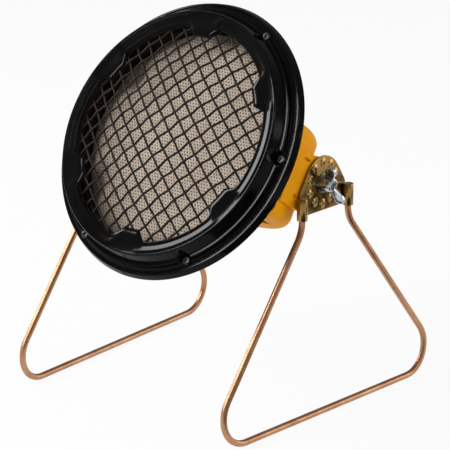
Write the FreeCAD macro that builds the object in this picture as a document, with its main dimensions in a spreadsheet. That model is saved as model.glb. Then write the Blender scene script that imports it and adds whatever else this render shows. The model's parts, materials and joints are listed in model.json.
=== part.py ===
import FreeCAD, Part
import math
import os
import re
import Sketcher

from FreeCAD import Placement, Rotation, Vector

# A portable gas heater: a round burner head that tilts between two bent wire stands.
# The part stands on z = 0 under its tilt axis. Its front faces -Y, and +X is on the right of that view.
# Head pieces are drawn with z out of the front, y up the face and the origin at the centre of the rim.
# Lengths are in millimetres and angles in degrees.
sizes = {
    # Stance of the head
    "head_tilt": 31,
    "pivot_height": 144,
    "pivot_rise": 1.5,
    "pivot_setback": 41.8,
    # Gaps between pieces that fit into each other
    "slip_gap": 0.1,
    "turn_gap": 0.05,
    "slide_gap": 0.3,
    # Pressed bezel, from its rim to its lip
    "bezel_gauge": 1,
    "rim_radius": 89,
    "rim_width": 3,
    "rim_crease_rise": 4,
    "land_width": 4.5,
    "land_rise": 9,
    "shoulder_width": 6,
    "shoulder_rise": 15,
    "lip_width": 5,
    "lip_rise": 15.4,
    "lip_return": 1.8,
    "lip_lean": 0.7,
    "tab_count": 6,
    "tab_length": 6.5,
    "tab_width": 11,
    "tab_rise": 13.9,
    # Dimples and screws of the bezel
    "bezel_screw_count": 6,
    "bezel_screw_turn": 0,
    "bezel_screw_inset": 6.7,
    "bezel_seat_rise": 4.9,
    "bezel_seat_radius": 3.4,
    "bezel_seat_wall": 0.8,
    # Small screws
    "screw_radius": 1.5,
    "screw_head_radius": 2.8,
    "screw_head_height": 1.8,
    "screw_dome": 0.5,
    "screw_slot_width": 0.7,
    "screw_slot_depth": 0.8,
    "screw_room": 0.15,
    "bezel_screw_length": 7,
    # Woven guard
    "mesh_pitch": 8.3,
    "mesh_wire": 1.2,
    "mesh_lay": 48,
    "dome_radius": 280,
    "mesh_inset": 3.8,
    "mesh_border": 4,
    "mesh_border_height": 1.8,
    "mesh_seat_rise": 11.2,
    # Inner ring that carries the guard
    "guard_gauge": 0.8,
    "guard_overlap": 1.3,
    "guard_foot": 4.7,
    # Burner pan
    "pan_gauge": 0.8,
    "pan_flange_inset": 4.6,
    "pan_inset": 17,
    "pan_ledge_depth": 17,
    "pan_ledge_width": 10,
    "plenum_slope_width": 10,
    "pan_floor_depth": 34,
    # Ceramic tile with its gasket and retainer
    "gasket_width": 1,
    "tile_thickness": 13,
    "tile_chamfer": 0.6,
    "retainer_gauge": 0.8,
    "retainer_overlap": 0.6,
    "retainer_height": 7.2,
    # Baffle inside the pan
    "baffle_radius": 38,
    "baffle_gauge": 0.8,
    "baffle_lift": 10,
    "baffle_leg_radius": 2,
    "baffle_leg_circle": 31,
    "baffle_leg_count": 3,
    # Mixing tube and jet
    "tube_radius": 9,
    "tube_wall": 1,
    "tube_inside": 7.2,
    "tube_flange_radius": 15,
    "tube_flange_gauge": 1.2,
    "jet_stand_off": 3.2,
    "air_hole_radius": 2.4,
    "air_hole_offset": 2.8,
    "jet_thread_radius": 3,
    "jet_thread_length": 5,
    "jet_head_radius": 4.6,
    "jet_head_length": 3,
    "jet_nose_length": 3,
    "jet_nose_radius": 1.6,
    "jet_passage_radius": 1,
    "jet_orifice_radius": 0.4,
    "jet_orifice_length": 2,
    # Heat shield and the screws that hang the pan on it
    "shield_radius": 52,
    "shield_gauge": 0.8,
    "shield_room": 2.8,
    "pan_screw_circle": 24,
    "pan_screw_count": 3,
    "spacer_radius": 4,
    "pan_screw_length": 8,
    "nut_radius": 3.2,
    "nut_height": 2.4,
    "shield_screw_across": 44,
    "shield_screw_up": 14,
    "shield_screw_length": 10,
    # Plastic housing behind the burner
    "shell_side": 3.2,
    "shell_half_height": 29.7,
    "shell_drop": 1.3,
    "shell_front": 9,
    "shell_wall": 2.5,
    "shell_round": 7,
    "pan_room": 2.5,
    "boss_radius": 15,
    "boss_inside": 16.5,
    "pad_height_above": 13.4,
    "pad_height_below": 20.5,
    "pad_length": 22,
    "pad_start": 10,
    "pad_step": 0.75,
    "pad_inside": 7.5,
    "pad_hole_radius": 1.6,
    "pad_hole_depth": 1.5,
    "pad_hole_up": 14,
    "pad_slot_length": 6,
    "pad_slot_width": 1.6,
    "pad_slot_up": 8.4,
    "pad_mark_back": 22,
    "post_radius": 4,
    "control_boss_rise": 1,
    "control_boss_root": 6,
    "knob_boss_radius": 13,
    "spindle_hole_room": 1,
    "piezo_boss_radius": 10,
    "vent_width": 3,
    "vent_height": 22,
    "vent_pitch": 6,
    "vent_first": 27,
    "vent_count": 3,
    "vent_reach": 12,
    "lead_hole_radius": 2,
    # Gas valve with its cartridge socket
    "valve_radius": 10,
    "valve_nose": 6,
    "valve_reach": 7,
    "valve_flange_radius": 16,
    "valve_flange_gauge": 2.5,
    "valve_passage_radius": 1.25,
    "socket_radius": 5.3,
    "socket_depth": 8,
    "spindle_room": 13,
    "valve_stem_radius": 5.9,
    "gland_room": 0.4,
    "needle_seat_height": 5,
    "gland_radius": 6.4,
    "gland_height": 5,
    "spindle_radius": 3,
    "spindle_grip": 11.4,
    "needle_length": 5,
    "needle_tip_radius": 0.6,
    "groove_height": 11,
    "groove_width": 2,
    "groove_depth": 0.8,
    "knob_screw_radius": 1.3,
    "knob_screw_length": 6,
    "knob_screw_head_radius": 2.4,
    "knob_screw_head_height": 1.2,
    "seal_inner_radius": 2.2,
    "seal_radius": 4.9,
    "seal_thickness": 1.6,
    "pin_radius": 0.9,
    "pin_root": 4,
    # Collar that centres the cartridge
    "collar_radius": 20,
    "collar_thickness": 3,
    "collar_rim_height": 2.5,
    "collar_rim_width": 2.5,
    "collar_screw_circle": 13,
    "collar_screw_count": 3,
    "collar_screw_sink": 1.4,
    "collar_screw_length": 6.6,
    # Gas knob
    "knob_radius": 12,
    "knob_top_radius": 11.2,
    "knob_height": 15,
    "knob_wall": 2,
    "knob_roof": 4,
    "knob_hub_radius": 5.5,
    "knob_lift": 0.6,
    "knob_room": 2.6,
    "knob_dish": 2,
    "knob_grip_count": 12,
    "knob_grip_radius": 1.6,
    "knob_grip_start": 3,
    "knob_mark_width": 1.6,
    "knob_mark_length": 6,
    "knob_mark_height": 0.6,
    "knob_round": 0.8,
    # Push-button igniter with its spark electrode
    "piezo_across": 30,
    "piezo_room": 17,
    "piezo_radius": 6,
    "piezo_length": 36,
    "piezo_flange_radius": 8.5,
    "piezo_flange_gauge": 1.4,
    "piezo_bore_radius": 4.9,
    "piezo_bore_depth": 12,
    "button_length": 14,
    "button_top": 8,
    "button_round": 1.5,
    "spark_turn": 290,
    "spark_depth": 0.5,
    "insulator_radius": 2.3,
    "insulator_inside": 5.5,
    "insulator_outside": 5,
    "insulator_collar_radius": 3.6,
    "insulator_collar_gauge": 1.5,
    "electrode_radius": 0.8,
    "electrode_inside": 9,
    "electrode_stub": 2,
    "lead_radius": 1.25,
    "lead_drop": 6,
    "lead_hang": 18,
    "lead_bend_radius": 8,
    # Side pivots
    "pivot_screw_radius": 2.5,
    "insert_radius": 5,
    "insert_length": 14,
    "bracket_gauge": 1.2,
    "bracket_stand_off": 1.85,
    "bracket_top_radius": 17,
    "bracket_shoulder_across": 15,
    "bracket_side_top": 3,
    "bracket_bottom": 17,
    "bracket_hole_room": 0.25,
    "roll_top": 4.5,
    "roll_bottom": 18,
    "roll_room": 0.05,
    "dimple_count": 10,
    "dimple_circle": 12.8,
    "dimple_base_radius": 1.9,
    "dimple_top_radius": 0.9,
    "dimple_height": 0.8,
    "washer_radius": 6,
    "washer_gauge": 1,
    "hub_radius": 5.5,
    "hub_end_radius": 4.2,
    "hub_length": 7,
    "ear_radius": 3.25,
    "ear_span": 26.5,
    "ear_out": 8.4,
    "ear_root": 3,
    "ear_thickness": 2.4,
    "wing_turn": 25,
    # Wire stands
    "wire_radius": 2,
    "socket_offset": 22.5,
    "base_half": 112.4,
    "leg_bend_room": 7,
    "leg_bend_radius": 20,
    "foot_bend_radius": 18,
    "foot_spread": 5.4,
    "foot_toe": 6.4,
}

doc = FreeCAD.newDocument("heater")
sheet = doc.addObject("Spreadsheet::Sheet", "dims")
for row, (word, size) in enumerate(sizes.items(), start=1):
    sheet.set(f"A{row}", word)
    sheet.set(f"B{row}", str(size))
    sheet.setAlias(f"B{row}", word)
doc.recompute()

finished = []
shell_top = "shell_half_height - shell_drop"
boss_top = f"{shell_top} + control_boss_rise"
shell_bottom = "-shell_half_height - shell_drop"
# Sizes that follow from the ones in the sheet
worked_out = {
    "rim_crease_radius": "rim_radius - rim_width",
    "land_radius": "rim_crease_radius - land_width",
    "shoulder_radius": "land_radius - shoulder_width",
    "lip_radius": "shoulder_radius - lip_width",
    "tab_reach": "lip_radius - tab_length",
    "bezel_screw_circle": "rim_radius - bezel_screw_inset",
    "pan_flange_radius": "rim_radius - pan_flange_inset",
    "pan_radius": "rim_radius - pan_inset",
    "plenum_radius": "pan_radius - pan_ledge_width",
    "plenum_floor_radius": "plenum_radius - plenum_slope_width",
    "tile_radius": "pan_radius - gasket_width",
    "retainer_reach": "tile_radius - retainer_overlap",
    "guard_radius": "pan_radius + guard_overlap",
    "guard_foot_radius": "guard_radius + guard_foot",
    "mesh_radius": "guard_radius - mesh_inset",
    "shell_half_width": "pan_radius + pan_gauge + pan_room + shell_side",
    "boss_root": "shell_half_width - boss_inside",
    "pad_root": "shell_half_width - pad_inside",
    "bracket_face": "shell_half_width + bracket_stand_off",
    "shield_back": "pan_floor_depth + pan_gauge + shield_room + shield_gauge",
    "spindle_setback": "shield_back + knob_room + knob_radius",
    "shell_depth": "spindle_setback + spindle_room",
    "piezo_setback": "shell_depth - piezo_room",
    "valve_front": "spindle_setback - valve_nose",
    "valve_back": "shell_depth + valve_reach",
    "valve_stem_height": f"{boss_top} - control_boss_root - gland_height - gland_room",
    "spindle_top": f"{boss_top} + knob_lift + spindle_grip",
    "insulator_start": "pan_radius - insulator_inside",
    "insulator_end": "pan_radius + insulator_outside",
    "electrode_reach": "pan_radius - electrode_inside",
    "electrode_tail": "insulator_end + electrode_stub",
}
along = {
    "Z": Rotation(),
    "X": Rotation(Vector(0, 1, 0), 90),
    "Y": Rotation(Vector(1, 0, 0), -90),
}


def bound(formula):
    """The formula with each size read from the sheet."""
    def read(word):
        if word[0] in worked_out:
            return f"({bound(worked_out[word[0]])})"
        return "dims." + word[0] if word[0] in sizes else word[0]

    return re.sub(r"[a-z]\w*", read, str(formula))


def value(formula):
    """The formula's present value."""
    return float(sheet.evalExpression(bound(formula)))


def spot(formulas):
    """A point given by one formula for each coordinate."""
    return Vector(*[value(formula) for formula in formulas])


def tie(piece, **formulas):
    """Bind properties of a piece to formulas."""
    for name, formula in formulas.items():
        piece.setExpression(name, bound(formula))


def head_frame():
    """Place of the tilted head: its pivot lies on the tilt axis."""
    turn = Rotation(Vector(1, 0, 0), 90 - value("head_tilt"))
    pivot = turn.multVec(spot(("0", "pivot_rise", "-pivot_setback")))
    return Placement(spot(("0", "0", "pivot_height")) - pivot, turn)


def keep(piece, label, place):
    """Give a finished sub-part its name and its place."""
    piece.Label = label
    piece.Placement = place
    finished.append(piece)


def keep_on_head(piece, label, at=("0", "0", "0"), turn=Rotation()):
    keep(piece, label, head_frame().multiply(Placement(spot(at), turn)))


def keep_on_side(piece, label, side, turn=Rotation()):
    """Side pieces are drawn for the right side, about the tilt axis; half a turn takes them to the left."""
    half_turn = Rotation(Vector(0, 0, 1), 0 if side == "right" else 180)
    keep(piece, label, Placement(spot(("0", "0", "pivot_height")), half_turn.multiply(turn)))


def origin_of(body, role):
    return next(part for part in body.Origin.OriginFeatures if part.Role == role)


def new_body(name):
    return doc.addObject("PartDesign::Body", name)


def sketch_on(body, role, name, lift="0", turn="0"):
    """An empty sketch on one of the body's own planes, lifted along its normal and turned about it."""
    sketch = body.newObject("Sketcher::SketchObject", name)
    sketch.AttachmentSupport = (origin_of(body, role), [""])
    sketch.MapMode = "FlatFace"
    sketch.AttachmentOffset = Placement(Vector(0, 0, value(lift)), Rotation(Vector(0, 0, 1), value(turn)))
    return sketch


def limit(sketch, kind, formula, *targets):
    """A dimension of a sketch, bound to a formula."""
    number = sketch.addConstraint(Sketcher.Constraint(kind, *targets, value(formula)))
    sketch.setExpression(f"Constraints[{number}]", bound(formula))


def pin(sketch, edge, end, corner):
    limit(sketch, "DistanceX", corner[0], edge, end)
    limit(sketch, "DistanceY", corner[1], edge, end)


def flat(corner):
    return spot((corner[0], corner[1], "0"))


def arc_between(start, end, radius):
    """The short arc from start to end: a positive radius turns left and a negative one right."""
    chord = end - start
    left = Vector(-chord.y, chord.x, 0).normalize()
    height = math.sqrt(max(radius ** 2 - chord.Length ** 2 / 4, 0))
    centre = start + chord / 2 + left * math.copysign(height, radius)
    first, last = (start, end) if radius > 0 else (end, start)
    angles = [math.atan2(point.y - centre.y, point.x - centre.x) for point in (first, last)]
    return Part.ArcOfCircle(Part.Circle(centre, Vector(0, 0, 1), abs(radius)), *angles)


def draw_loop(sketch, corners):
    """A closed outline. A corner with a third formula is reached by an arc of that radius."""
    ends = []
    first = sketch.GeometryCount
    for before, corner in zip([corners[-1]] + corners[:-1], corners):
        start, end = flat(before), flat(corner)
        if len(corner) == 2:
            ends.append((sketch.addGeometry(Part.LineSegment(start, end), False), 1, 2))
            continue
        radius = value(corner[2])
        edge = sketch.addGeometry(arc_between(start, end, radius), False)
        ends.append((edge, 1, 2) if radius > 0 else (edge, 2, 1))
    for (edge, _, end), (following, start, _) in zip(ends, ends[1:] + ends[:1]):
        sketch.addConstraint(Sketcher.Constraint("Coincident", edge, end, following, start))
    for (edge, _, end), corner in zip(ends, corners):
        pin(sketch, edge, end, corner)
        if len(corner) == 3:
            limit(sketch, "Radius", f"abs({corner[2]})", edge)
    return first


def draw_circle(sketch, across, up, radius):
    edge = sketch.addGeometry(Part.Circle(flat((across, up)), Vector(0, 0, 1), value(radius)), False)
    limit(sketch, "Radius", radius, edge)
    pin(sketch, edge, 3, (across, up))


def draw_sheet(sketch, corners, gauge):
    """The section of a pressed sheet: its face runs along the corners, and the metal lies on the left."""
    points = [flat(corner) for corner in corners]
    ways = [(end - start).normalize() for start, end in zip(points, points[1:])]
    lefts = [Vector(-way.y, way.x, 0) for way in ways]
    backs = []
    for point, one, other in zip(points, lefts[:1] + lefts, lefts + lefts[-1:]):
        backs.append(point + (one + other) * (value(gauge) / (1 + one.dot(other))))
    loop = points + backs[::-1]
    for start, end in zip(loop, loop[1:] + loop[:1]):
        sketch.addGeometry(Part.LineSegment(start, end), False)
    for edge in range(len(loop)):
        sketch.addConstraint(Sketcher.Constraint("Coincident", edge, 2, (edge + 1) % len(loop), 1))
    for edge, corner in enumerate(corners):
        pin(sketch, edge, 1, corner)
    runs = len(ways)
    for edge in range(runs):
        back = 2 * runs - edge
        sketch.addConstraint(Sketcher.Constraint("Parallel", edge, back))
        limit(sketch, "Distance", gauge, back, 1, edge)
    sketch.addConstraint(Sketcher.Constraint("Perpendicular", 0, 2 * runs + 1))
    sketch.addConstraint(Sketcher.Constraint("Perpendicular", runs - 1, runs))


def turn_profile(body, sketch, axis="Z_Axis", kind="Revolution"):
    turned = body.newObject("PartDesign::" + kind, sketch.Name + kind)
    turned.Profile = sketch
    turned.ReferenceAxis = (origin_of(body, axis), [""])
    turned.Angle = 360
    return turned


def turned_body(name, corners):
    """A body turned about z from its half section, given as (radius, height) corners."""
    body = new_body(name)
    sketch = sketch_on(body, "XZ_Plane", name + "Section")
    draw_loop(sketch, corners)
    turn_profile(body, sketch)
    return body


def pressed_body(name, corners, gauge):
    """A sheet pressing turned about z."""
    body = new_body(name)
    sketch = sketch_on(body, "XZ_Plane", name + "Section")
    draw_sheet(sketch, corners, gauge)
    turn_profile(body, sketch)
    return body


def pull(body, kind, sketch, length, reverse=False, symmetric=False):
    """A pad or a pocket of a sketch."""
    pulled = body.newObject("PartDesign::" + kind, sketch.Name + kind)
    pulled.Profile = sketch
    tie(pulled, Length=length)
    pulled.Reversed = reverse
    pulled.SideType = "Symmetric" if symmetric else "One side"
    return pulled


def round_hole(body, role, name, centre, radius, length, lift="0", turn="0", reverse=False, symmetric=False):
    sketch = sketch_on(body, role, name, lift, turn)
    draw_circle(sketch, *centre, radius)
    return pull(body, "Pocket", sketch, length, reverse, symmetric)


def repeat(body, features, count, axis="Z_Axis"):
    """Copies of features, evenly round an axis."""
    pattern = body.newObject("PartDesign::PolarPattern", features[0].Name + "Pattern")
    pattern.Originals = features
    pattern.Axis = (origin_of(body, axis), [""])
    pattern.Angle = 360
    tie(pattern, Occurrences=count)
    body.Tip = pattern
    return pattern


def soften(body, radius, chosen):
    """Round the edges of the body's last feature that the test chooses."""
    doc.recompute()
    last = body.Tip
    names = [f"Edge{number}" for number, edge in enumerate(last.Shape.Edges, start=1) if chosen(edge)]
    fillet = body.newObject("PartDesign::Fillet", body.Name + "Fillet")
    fillet.Base = (last, names)
    tie(fillet, Radius=radius)
    return fillet


def cylinder(name, radius, height, at, axis="Z"):
    piece = doc.addObject("Part::Cylinder", name)
    tie(piece, Radius=radius, Height=height)
    return lay(piece, at, axis)


def box(name, length, width, height, at):
    piece = doc.addObject("Part::Box", name)
    tie(piece, Length=length, Width=width, Height=height)
    return lay(piece, at)


def lay(piece, at, axis="Z"):
    """Place a primitive with its first corner or its foot at a bound point."""
    piece.Placement = Placement(spot(at), along[axis])
    for letter, formula in zip("xyz", at):
        piece.setExpression("Placement.Base." + letter, bound(formula))
    return piece


def joined(name, pieces):
    whole = doc.addObject("Part::MultiFuse", name)
    whole.Shapes = pieces
    whole.Refine = True
    return whole


def cut(name, base, tools):
    whole = doc.addObject("Part::Cut", name)
    whole.Base = base
    whole.Tool = tools[0] if len(tools) == 1 else joined(name + "Tools", tools)
    return whole


def bent_wire(name, corners, radius, bends):
    """A round wire along straight runs, with a bend at each corner between them."""
    points = [spot(corner) for corner in corners]
    edges = []
    start = points[0]
    for before, corner, after, bend in zip(points, points[1:], points[2:], bends):
        back = (before - corner).normalize()
        ahead = (after - corner).normalize()
        half = back.getAngle(ahead) / 2
        reach = value(bend) / math.tan(half)
        first = corner + back * reach
        last = corner + ahead * reach
        middle = corner + (back + ahead).normalize() * value(bend) * (1 / math.sin(half) - 1)
        edges.append(Part.LineSegment(start, first).toShape())
        edges.append(Part.Arc(first, middle, last).toShape())
        start = last
    edges.append(Part.LineSegment(start, points[-1]).toShape())
    section = Part.Wire(Part.makeCircle(value(radius), points[0], points[1] - points[0]))
    wire = doc.addObject("Part::Feature", name)
    wire.Shape = Part.Wire(edges).makePipeShell([section], True, False)
    return wire


def on_circle(radius, count, first):
    """Corner formulas of points spaced evenly on a circle."""
    for number in range(round(value(count))):
        angle = f"({first} + 360 * {number} / {count})"
        yield f"{radius} * cos({angle})", f"{radius} * sin({angle})"


def pan_head_screw(name, length):
    """A slotted screw: its head stands on z = 0 and its shank hangs below."""
    body = turned_body(name, [
        ("0", f"-({length})"),
        ("screw_radius", f"-({length})"),
        ("screw_radius", "0"),
        ("screw_head_radius", "0"),
        ("screw_head_radius", "screw_head_height - screw_dome"),
        ("screw_head_radius - screw_dome", "screw_head_height", "screw_dome"),
        ("0", "screw_head_height"),
    ])
    sketch = sketch_on(body, "XY_Plane", name + "Slot", "screw_head_height - screw_slot_depth")
    draw_loop(sketch, [
        ("-screw_head_radius", "-screw_slot_width / 2"),
        ("screw_head_radius", "-screw_slot_width / 2"),
        ("screw_head_radius", "screw_slot_width / 2"),
        ("-screw_head_radius", "screw_slot_width / 2"),
    ])
    pull(body, "Pocket", sketch, "screw_head_height", reverse=True)
    return body


def set_of(name, master, places):
    """One node that holds the same piece at several places."""
    group = doc.addObject("Part::Compound", name)
    copies = []
    for number, at in enumerate(places, start=1):
        copy = doc.addObject("App::Link", f"{name}{number}")
        copy.LinkedObject = master
        copy.Placement = Placement(spot(at), Rotation())
        copies.append(copy)
    group.Links = copies
    return group


def make_front_bezel():
    face = [
        ("rim_radius", "0"),
        ("rim_crease_radius", "rim_crease_rise"),
        ("land_radius", "land_rise"),
        ("shoulder_radius", "shoulder_rise"),
        ("lip_radius", "lip_rise"),
        ("lip_radius - lip_lean", "lip_rise - lip_return"),
    ]
    body = pressed_body("front_bezel", face, "bezel_gauge")
    # Each screw sits in a dimple: a post is raised to the cone, trimmed to it and hollowed from the front.
    seat = sketch_on(body, "XY_Plane", "seatPost", "bezel_seat_rise - bezel_gauge")
    draw_circle(seat, "bezel_screw_circle", "0", "bezel_seat_radius + bezel_seat_wall")
    post = pull(body, "Pad", seat, "shoulder_rise - bezel_seat_rise")
    repeat(body, [post], "bezel_screw_count")
    outside = sketch_on(body, "XZ_Plane", "outsideOfBezel")
    around = [("shoulder_radius", "2 * shoulder_rise"), ("2 * rim_radius", "2 * shoulder_rise"),
              ("2 * rim_radius", "0")]
    draw_loop(outside, face[:4] + around)
    turn_profile(body, outside, kind="Groove")
    dimple = round_hole(body, "XY_Plane", "dimple", ("bezel_screw_circle", "0"), "bezel_seat_radius",
                        "shoulder_rise", "bezel_seat_rise", reverse=True)
    hole = round_hole(body, "XY_Plane", "bezelHole", ("bezel_screw_circle", "0"),
                      "screw_radius + screw_room", "2 * bezel_gauge", "bezel_seat_rise")
    repeat(body, [dimple, hole], "bezel_screw_count")
    tongue = sketch_on(body, "XY_Plane", "tongue", "tab_rise", "180 / tab_count")
    draw_loop(tongue, [
        ("tab_reach", "-tab_width / 2"),
        ("lip_radius + bezel_gauge / 2", "-tab_width / 2"),
        ("lip_radius + bezel_gauge / 2", "tab_width / 2"),
        ("tab_reach", "tab_width / 2"),
    ])
    repeat(body, [pull(body, "Pad", tongue, "bezel_gauge")], "tab_count")
    keep_on_head(body, "front_bezel", turn=Rotation(Vector(0, 0, 1), value("bezel_screw_turn")))
    screw = pan_head_screw("bezelScrew", "bezel_screw_length")
    circle = on_circle("bezel_screw_circle", "bezel_screw_count", "bezel_screw_turn")
    places = [(across, up, "bezel_seat_rise") for across, up in circle]
    keep_on_head(set_of("bezel_screws", screw, places), "bezel_screws")


def make_mesh_guard():
    """A domed net: square gaps are cut through a thin spherical cap inside a plain border."""
    reach = value("mesh_radius")
    wire = value("mesh_wire")
    pitch = value("mesh_pitch")
    ball = value("dome_radius")
    seat = value("mesh_seat_rise")
    centre = Vector(0, 0, seat + wire / 2 - math.sqrt(ball ** 2 - reach ** 2))
    cap = Part.makeSphere(ball + wire / 2, centre).cut(Part.makeSphere(ball - wire / 2, centre))
    column = Part.makeCylinder(reach + value("slide_gap") / 2, ball, Vector(0, 0, 0))
    border = Part.makeCylinder(reach + value("mesh_border"), value("mesh_border_height"), Vector(0, 0, seat))
    border = border.cut(Part.makeCylinder(reach, ball, Vector(0, 0, 0)))
    gap = pitch - wire
    cells = range(-math.ceil(reach / pitch), math.ceil(reach / pitch) + 1)
    corners = ((-1, -1), (1, -1), (1, 1), (-1, 1))
    square = [Vector(across * gap / 2, up * gap / 2, 0) for across, up in corners]
    lay_turn = Rotation(Vector(0, 0, 1), value("mesh_lay"))
    gaps = []
    for column_number in cells:
        for row_number in cells:
            middle = Vector(column_number * pitch, row_number * pitch, 0)
            if middle.Length - gap / 2 < reach:
                outline = [lay_turn.multVec(middle + corner) for corner in square]
                face = Part.Face(Part.makePolygon(outline + outline[:1]))
                gaps.append(face.extrude(Vector(0, 0, ball)))
    room = Part.makeCylinder(reach - wire, ball, Vector(0, 0, 0))
    gaps = [solid for solid in Part.makeCompound(gaps).common(room).Solids if solid.Volume > ball * gap]
    net = cap.common(column).fuse(border).cut(Part.makeCompound(gaps))
    guard = doc.addObject("Part::Feature", "mesh_guard")
    guard.Shape = net.removeSplitter().Solids[0]
    keep_on_head(guard, "mesh_guard")


def make_guard_ring():
    flange = "bezel_seat_rise - bezel_gauge"
    body = pressed_body("guard_ring", [
        ("guard_foot_radius", f"{flange} + guard_gauge"),
        ("guard_radius", f"{flange} + guard_gauge"),
        ("guard_radius", "mesh_seat_rise"),
        ("mesh_radius + slide_gap", "mesh_seat_rise"),
    ], "guard_gauge")
    keep_on_head(body, "guard_ring")


def make_burner():
    flange = "bezel_seat_rise - bezel_gauge"
    tile_back = "-pan_ledge_depth"
    tile_face = "tile_thickness - pan_ledge_depth"
    pan = pressed_body("burner_pan", [
        ("pan_flange_radius", flange),
        ("pan_radius", flange),
        ("pan_radius", tile_back),
        ("plenum_radius", tile_back),
        ("plenum_floor_radius", "-pan_floor_depth"),
        ("tube_radius + slip_gap", "-pan_floor_depth"),
    ], "pan_gauge")
    rim = round_hole(pan, "XY_Plane", "panRimHole", ("bezel_screw_circle", "0"), "screw_radius + screw_room",
                     "2 * pan_gauge", flange, "bezel_screw_turn - spark_turn")
    repeat(pan, [rim], "bezel_screw_count")
    floor = round_hole(pan, "XY_Plane", "panFloorHole", ("pan_screw_circle", "0"),
                       "screw_radius + screw_room", "2 * pan_gauge", "-pan_floor_depth")
    repeat(pan, [floor], "pan_screw_count")
    round_hole(pan, "YZ_Plane", "panSparkHole", ("0", "-spark_depth"), "insulator_radius + slip_gap",
               "2 * pan_radius")
    pan.Tip.Reversed = True
    spark = Rotation(Vector(0, 0, 1), value("spark_turn"))
    keep_on_head(pan, "burner_pan", turn=spark)

    tile = turned_body("ceramic_plate", [
        ("0", tile_back),
        ("tile_radius", tile_back),
        ("tile_radius", f"{tile_face} - tile_chamfer"),
        ("tile_radius - tile_chamfer", tile_face),
        ("0", tile_face),
    ])
    keep_on_head(tile, "ceramic_plate")
    gasket = turned_body("plate_gasket", [
        ("tile_radius + slip_gap", tile_back),
        ("pan_radius - slip_gap", tile_back),
        ("pan_radius - slip_gap", tile_face),
        ("tile_radius + slip_gap", tile_face),
    ])
    keep_on_head(gasket, "plate_gasket")
    wall = "pan_radius - slip_gap - retainer_gauge"
    retainer = pressed_body("plate_retainer", [
        (wall, f"{tile_face} + retainer_gauge + retainer_height"),
        (wall, f"{tile_face} + retainer_gauge"),
        ("retainer_reach", f"{tile_face} + retainer_gauge"),
    ], "retainer_gauge")
    round_hole(retainer, "YZ_Plane", "retainerSparkHole", ("0", "-spark_depth"),
               "insulator_radius + slip_gap", "2 * pan_radius")
    retainer.Tip.Reversed = True
    keep_on_head(retainer, "plate_retainer", turn=spark)

    plate = [cylinder("baffleDisc", "baffle_radius", "baffle_gauge",
                      ("0", "0", "baffle_lift - pan_floor_depth"))]
    for across, up in on_circle("baffle_leg_circle", "baffle_leg_count", "0"):
        plate.append(cylinder("baffleLeg", "baffle_leg_radius", "baffle_lift + baffle_gauge / 2",
                              (across, up, "-pan_floor_depth")))
    keep_on_head(joined("baffle_plate", plate), "baffle_plate")


def make_mixing_tube_and_jet():
    under = "-pan_floor_depth - pan_gauge"
    front = "tube_inside - pan_floor_depth"
    back = "jet_stand_off - valve_front"
    tube = turned_body("mixing_tube", [
        ("tube_radius - tube_wall", front),
        ("tube_radius - tube_wall", back),
        ("tube_radius", back),
        ("tube_radius", f"{under} - tube_flange_gauge"),
        ("tube_flange_radius", f"{under} - tube_flange_gauge"),
        ("tube_flange_radius", under),
        ("tube_radius", under),
        ("tube_radius", front),
    ])
    for role in ("XZ_Plane", "YZ_Plane"):
        round_hole(tube, role, "airHole" + role[:2], ("0", f"{back} + air_hole_offset"), "air_hole_radius",
                   "3 * tube_radius", symmetric=True)
    keep_on_head(tube, "mixing_tube")
    face = "-valve_front"
    jet = turned_body("gas_jet", [
        ("jet_orifice_radius", f"{face} + jet_head_length + jet_nose_length"),
        ("jet_orifice_radius", f"{face} + jet_head_length + jet_nose_length - jet_orifice_length"),
        ("jet_passage_radius", f"{face} + jet_head_length + jet_nose_length - jet_orifice_length"),
        ("jet_passage_radius", f"{face} - jet_thread_length"),
        ("jet_thread_radius", f"{face} - jet_thread_length"),
        ("jet_thread_radius", face),
        ("jet_head_radius", face),
        ("jet_head_radius", f"{face} + jet_head_length"),
        ("jet_thread_radius", f"{face} + jet_head_length"),
        ("jet_nose_radius", f"{face} + jet_head_length + jet_nose_length"),
    ])
    keep_on_head(jet, "gas_jet")


def make_heat_shield():
    front = "-pan_floor_depth - pan_gauge - shield_room"
    body = new_body("heat_shield")
    sketch = sketch_on(body, "XY_Plane", "shieldFace", "-shield_back")
    draw_circle(sketch, "0", "0", "shield_radius")
    draw_circle(sketch, "0", "0", "tube_radius + slide_gap")
    for across, up in on_circle("pan_screw_circle", "pan_screw_count", "spark_turn"):
        draw_circle(sketch, across, up, "screw_radius + screw_room")
    for across, up in shield_screw_places():
        draw_circle(sketch, across, up, "screw_radius + screw_room")
    pull(body, "Pad", sketch, "shield_gauge")
    keep_on_head(body, "heat_shield")
    screw = pan_head_screw("shieldScrew", "shield_screw_length")
    places = [(across, up, front) for across, up in shield_screw_places()]
    keep_on_head(set_of("shield_screws", screw, places), "shield_screws")

    spacer = turned_body("panSpacer", [
        ("screw_radius + screw_room", "0"),
        ("spacer_radius", "0"),
        ("spacer_radius", "shield_room"),
        ("screw_radius + screw_room", "shield_room"),
    ])
    circle = list(on_circle("pan_screw_circle", "pan_screw_count", "spark_turn"))
    in_front = [(across, up, front) for across, up in circle]
    keep_on_head(set_of("pan_spacers", spacer, in_front), "pan_spacers")
    bolt = pan_head_screw("panScrew", "pan_screw_length")
    floor = [(across, up, "-pan_floor_depth") for across, up in circle]
    keep_on_head(set_of("pan_screws", bolt, floor), "pan_screws")
    hexagon = doc.addObject("Part::Prism", "nutBlank")
    hexagon.Polygon = 6
    tie(hexagon, Circumradius="nut_radius", Height="nut_height")
    bore = cylinder("nutBore", "screw_radius + slip_gap", "2 * nut_height", ("0", "0", "-nut_height / 2"))
    nut = cut("panNut", hexagon, [bore])
    behind = [(across, up, "-shield_back - nut_height") for across, up in circle]
    keep_on_head(set_of("pan_nuts", nut, behind), "pan_nuts")


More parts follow.
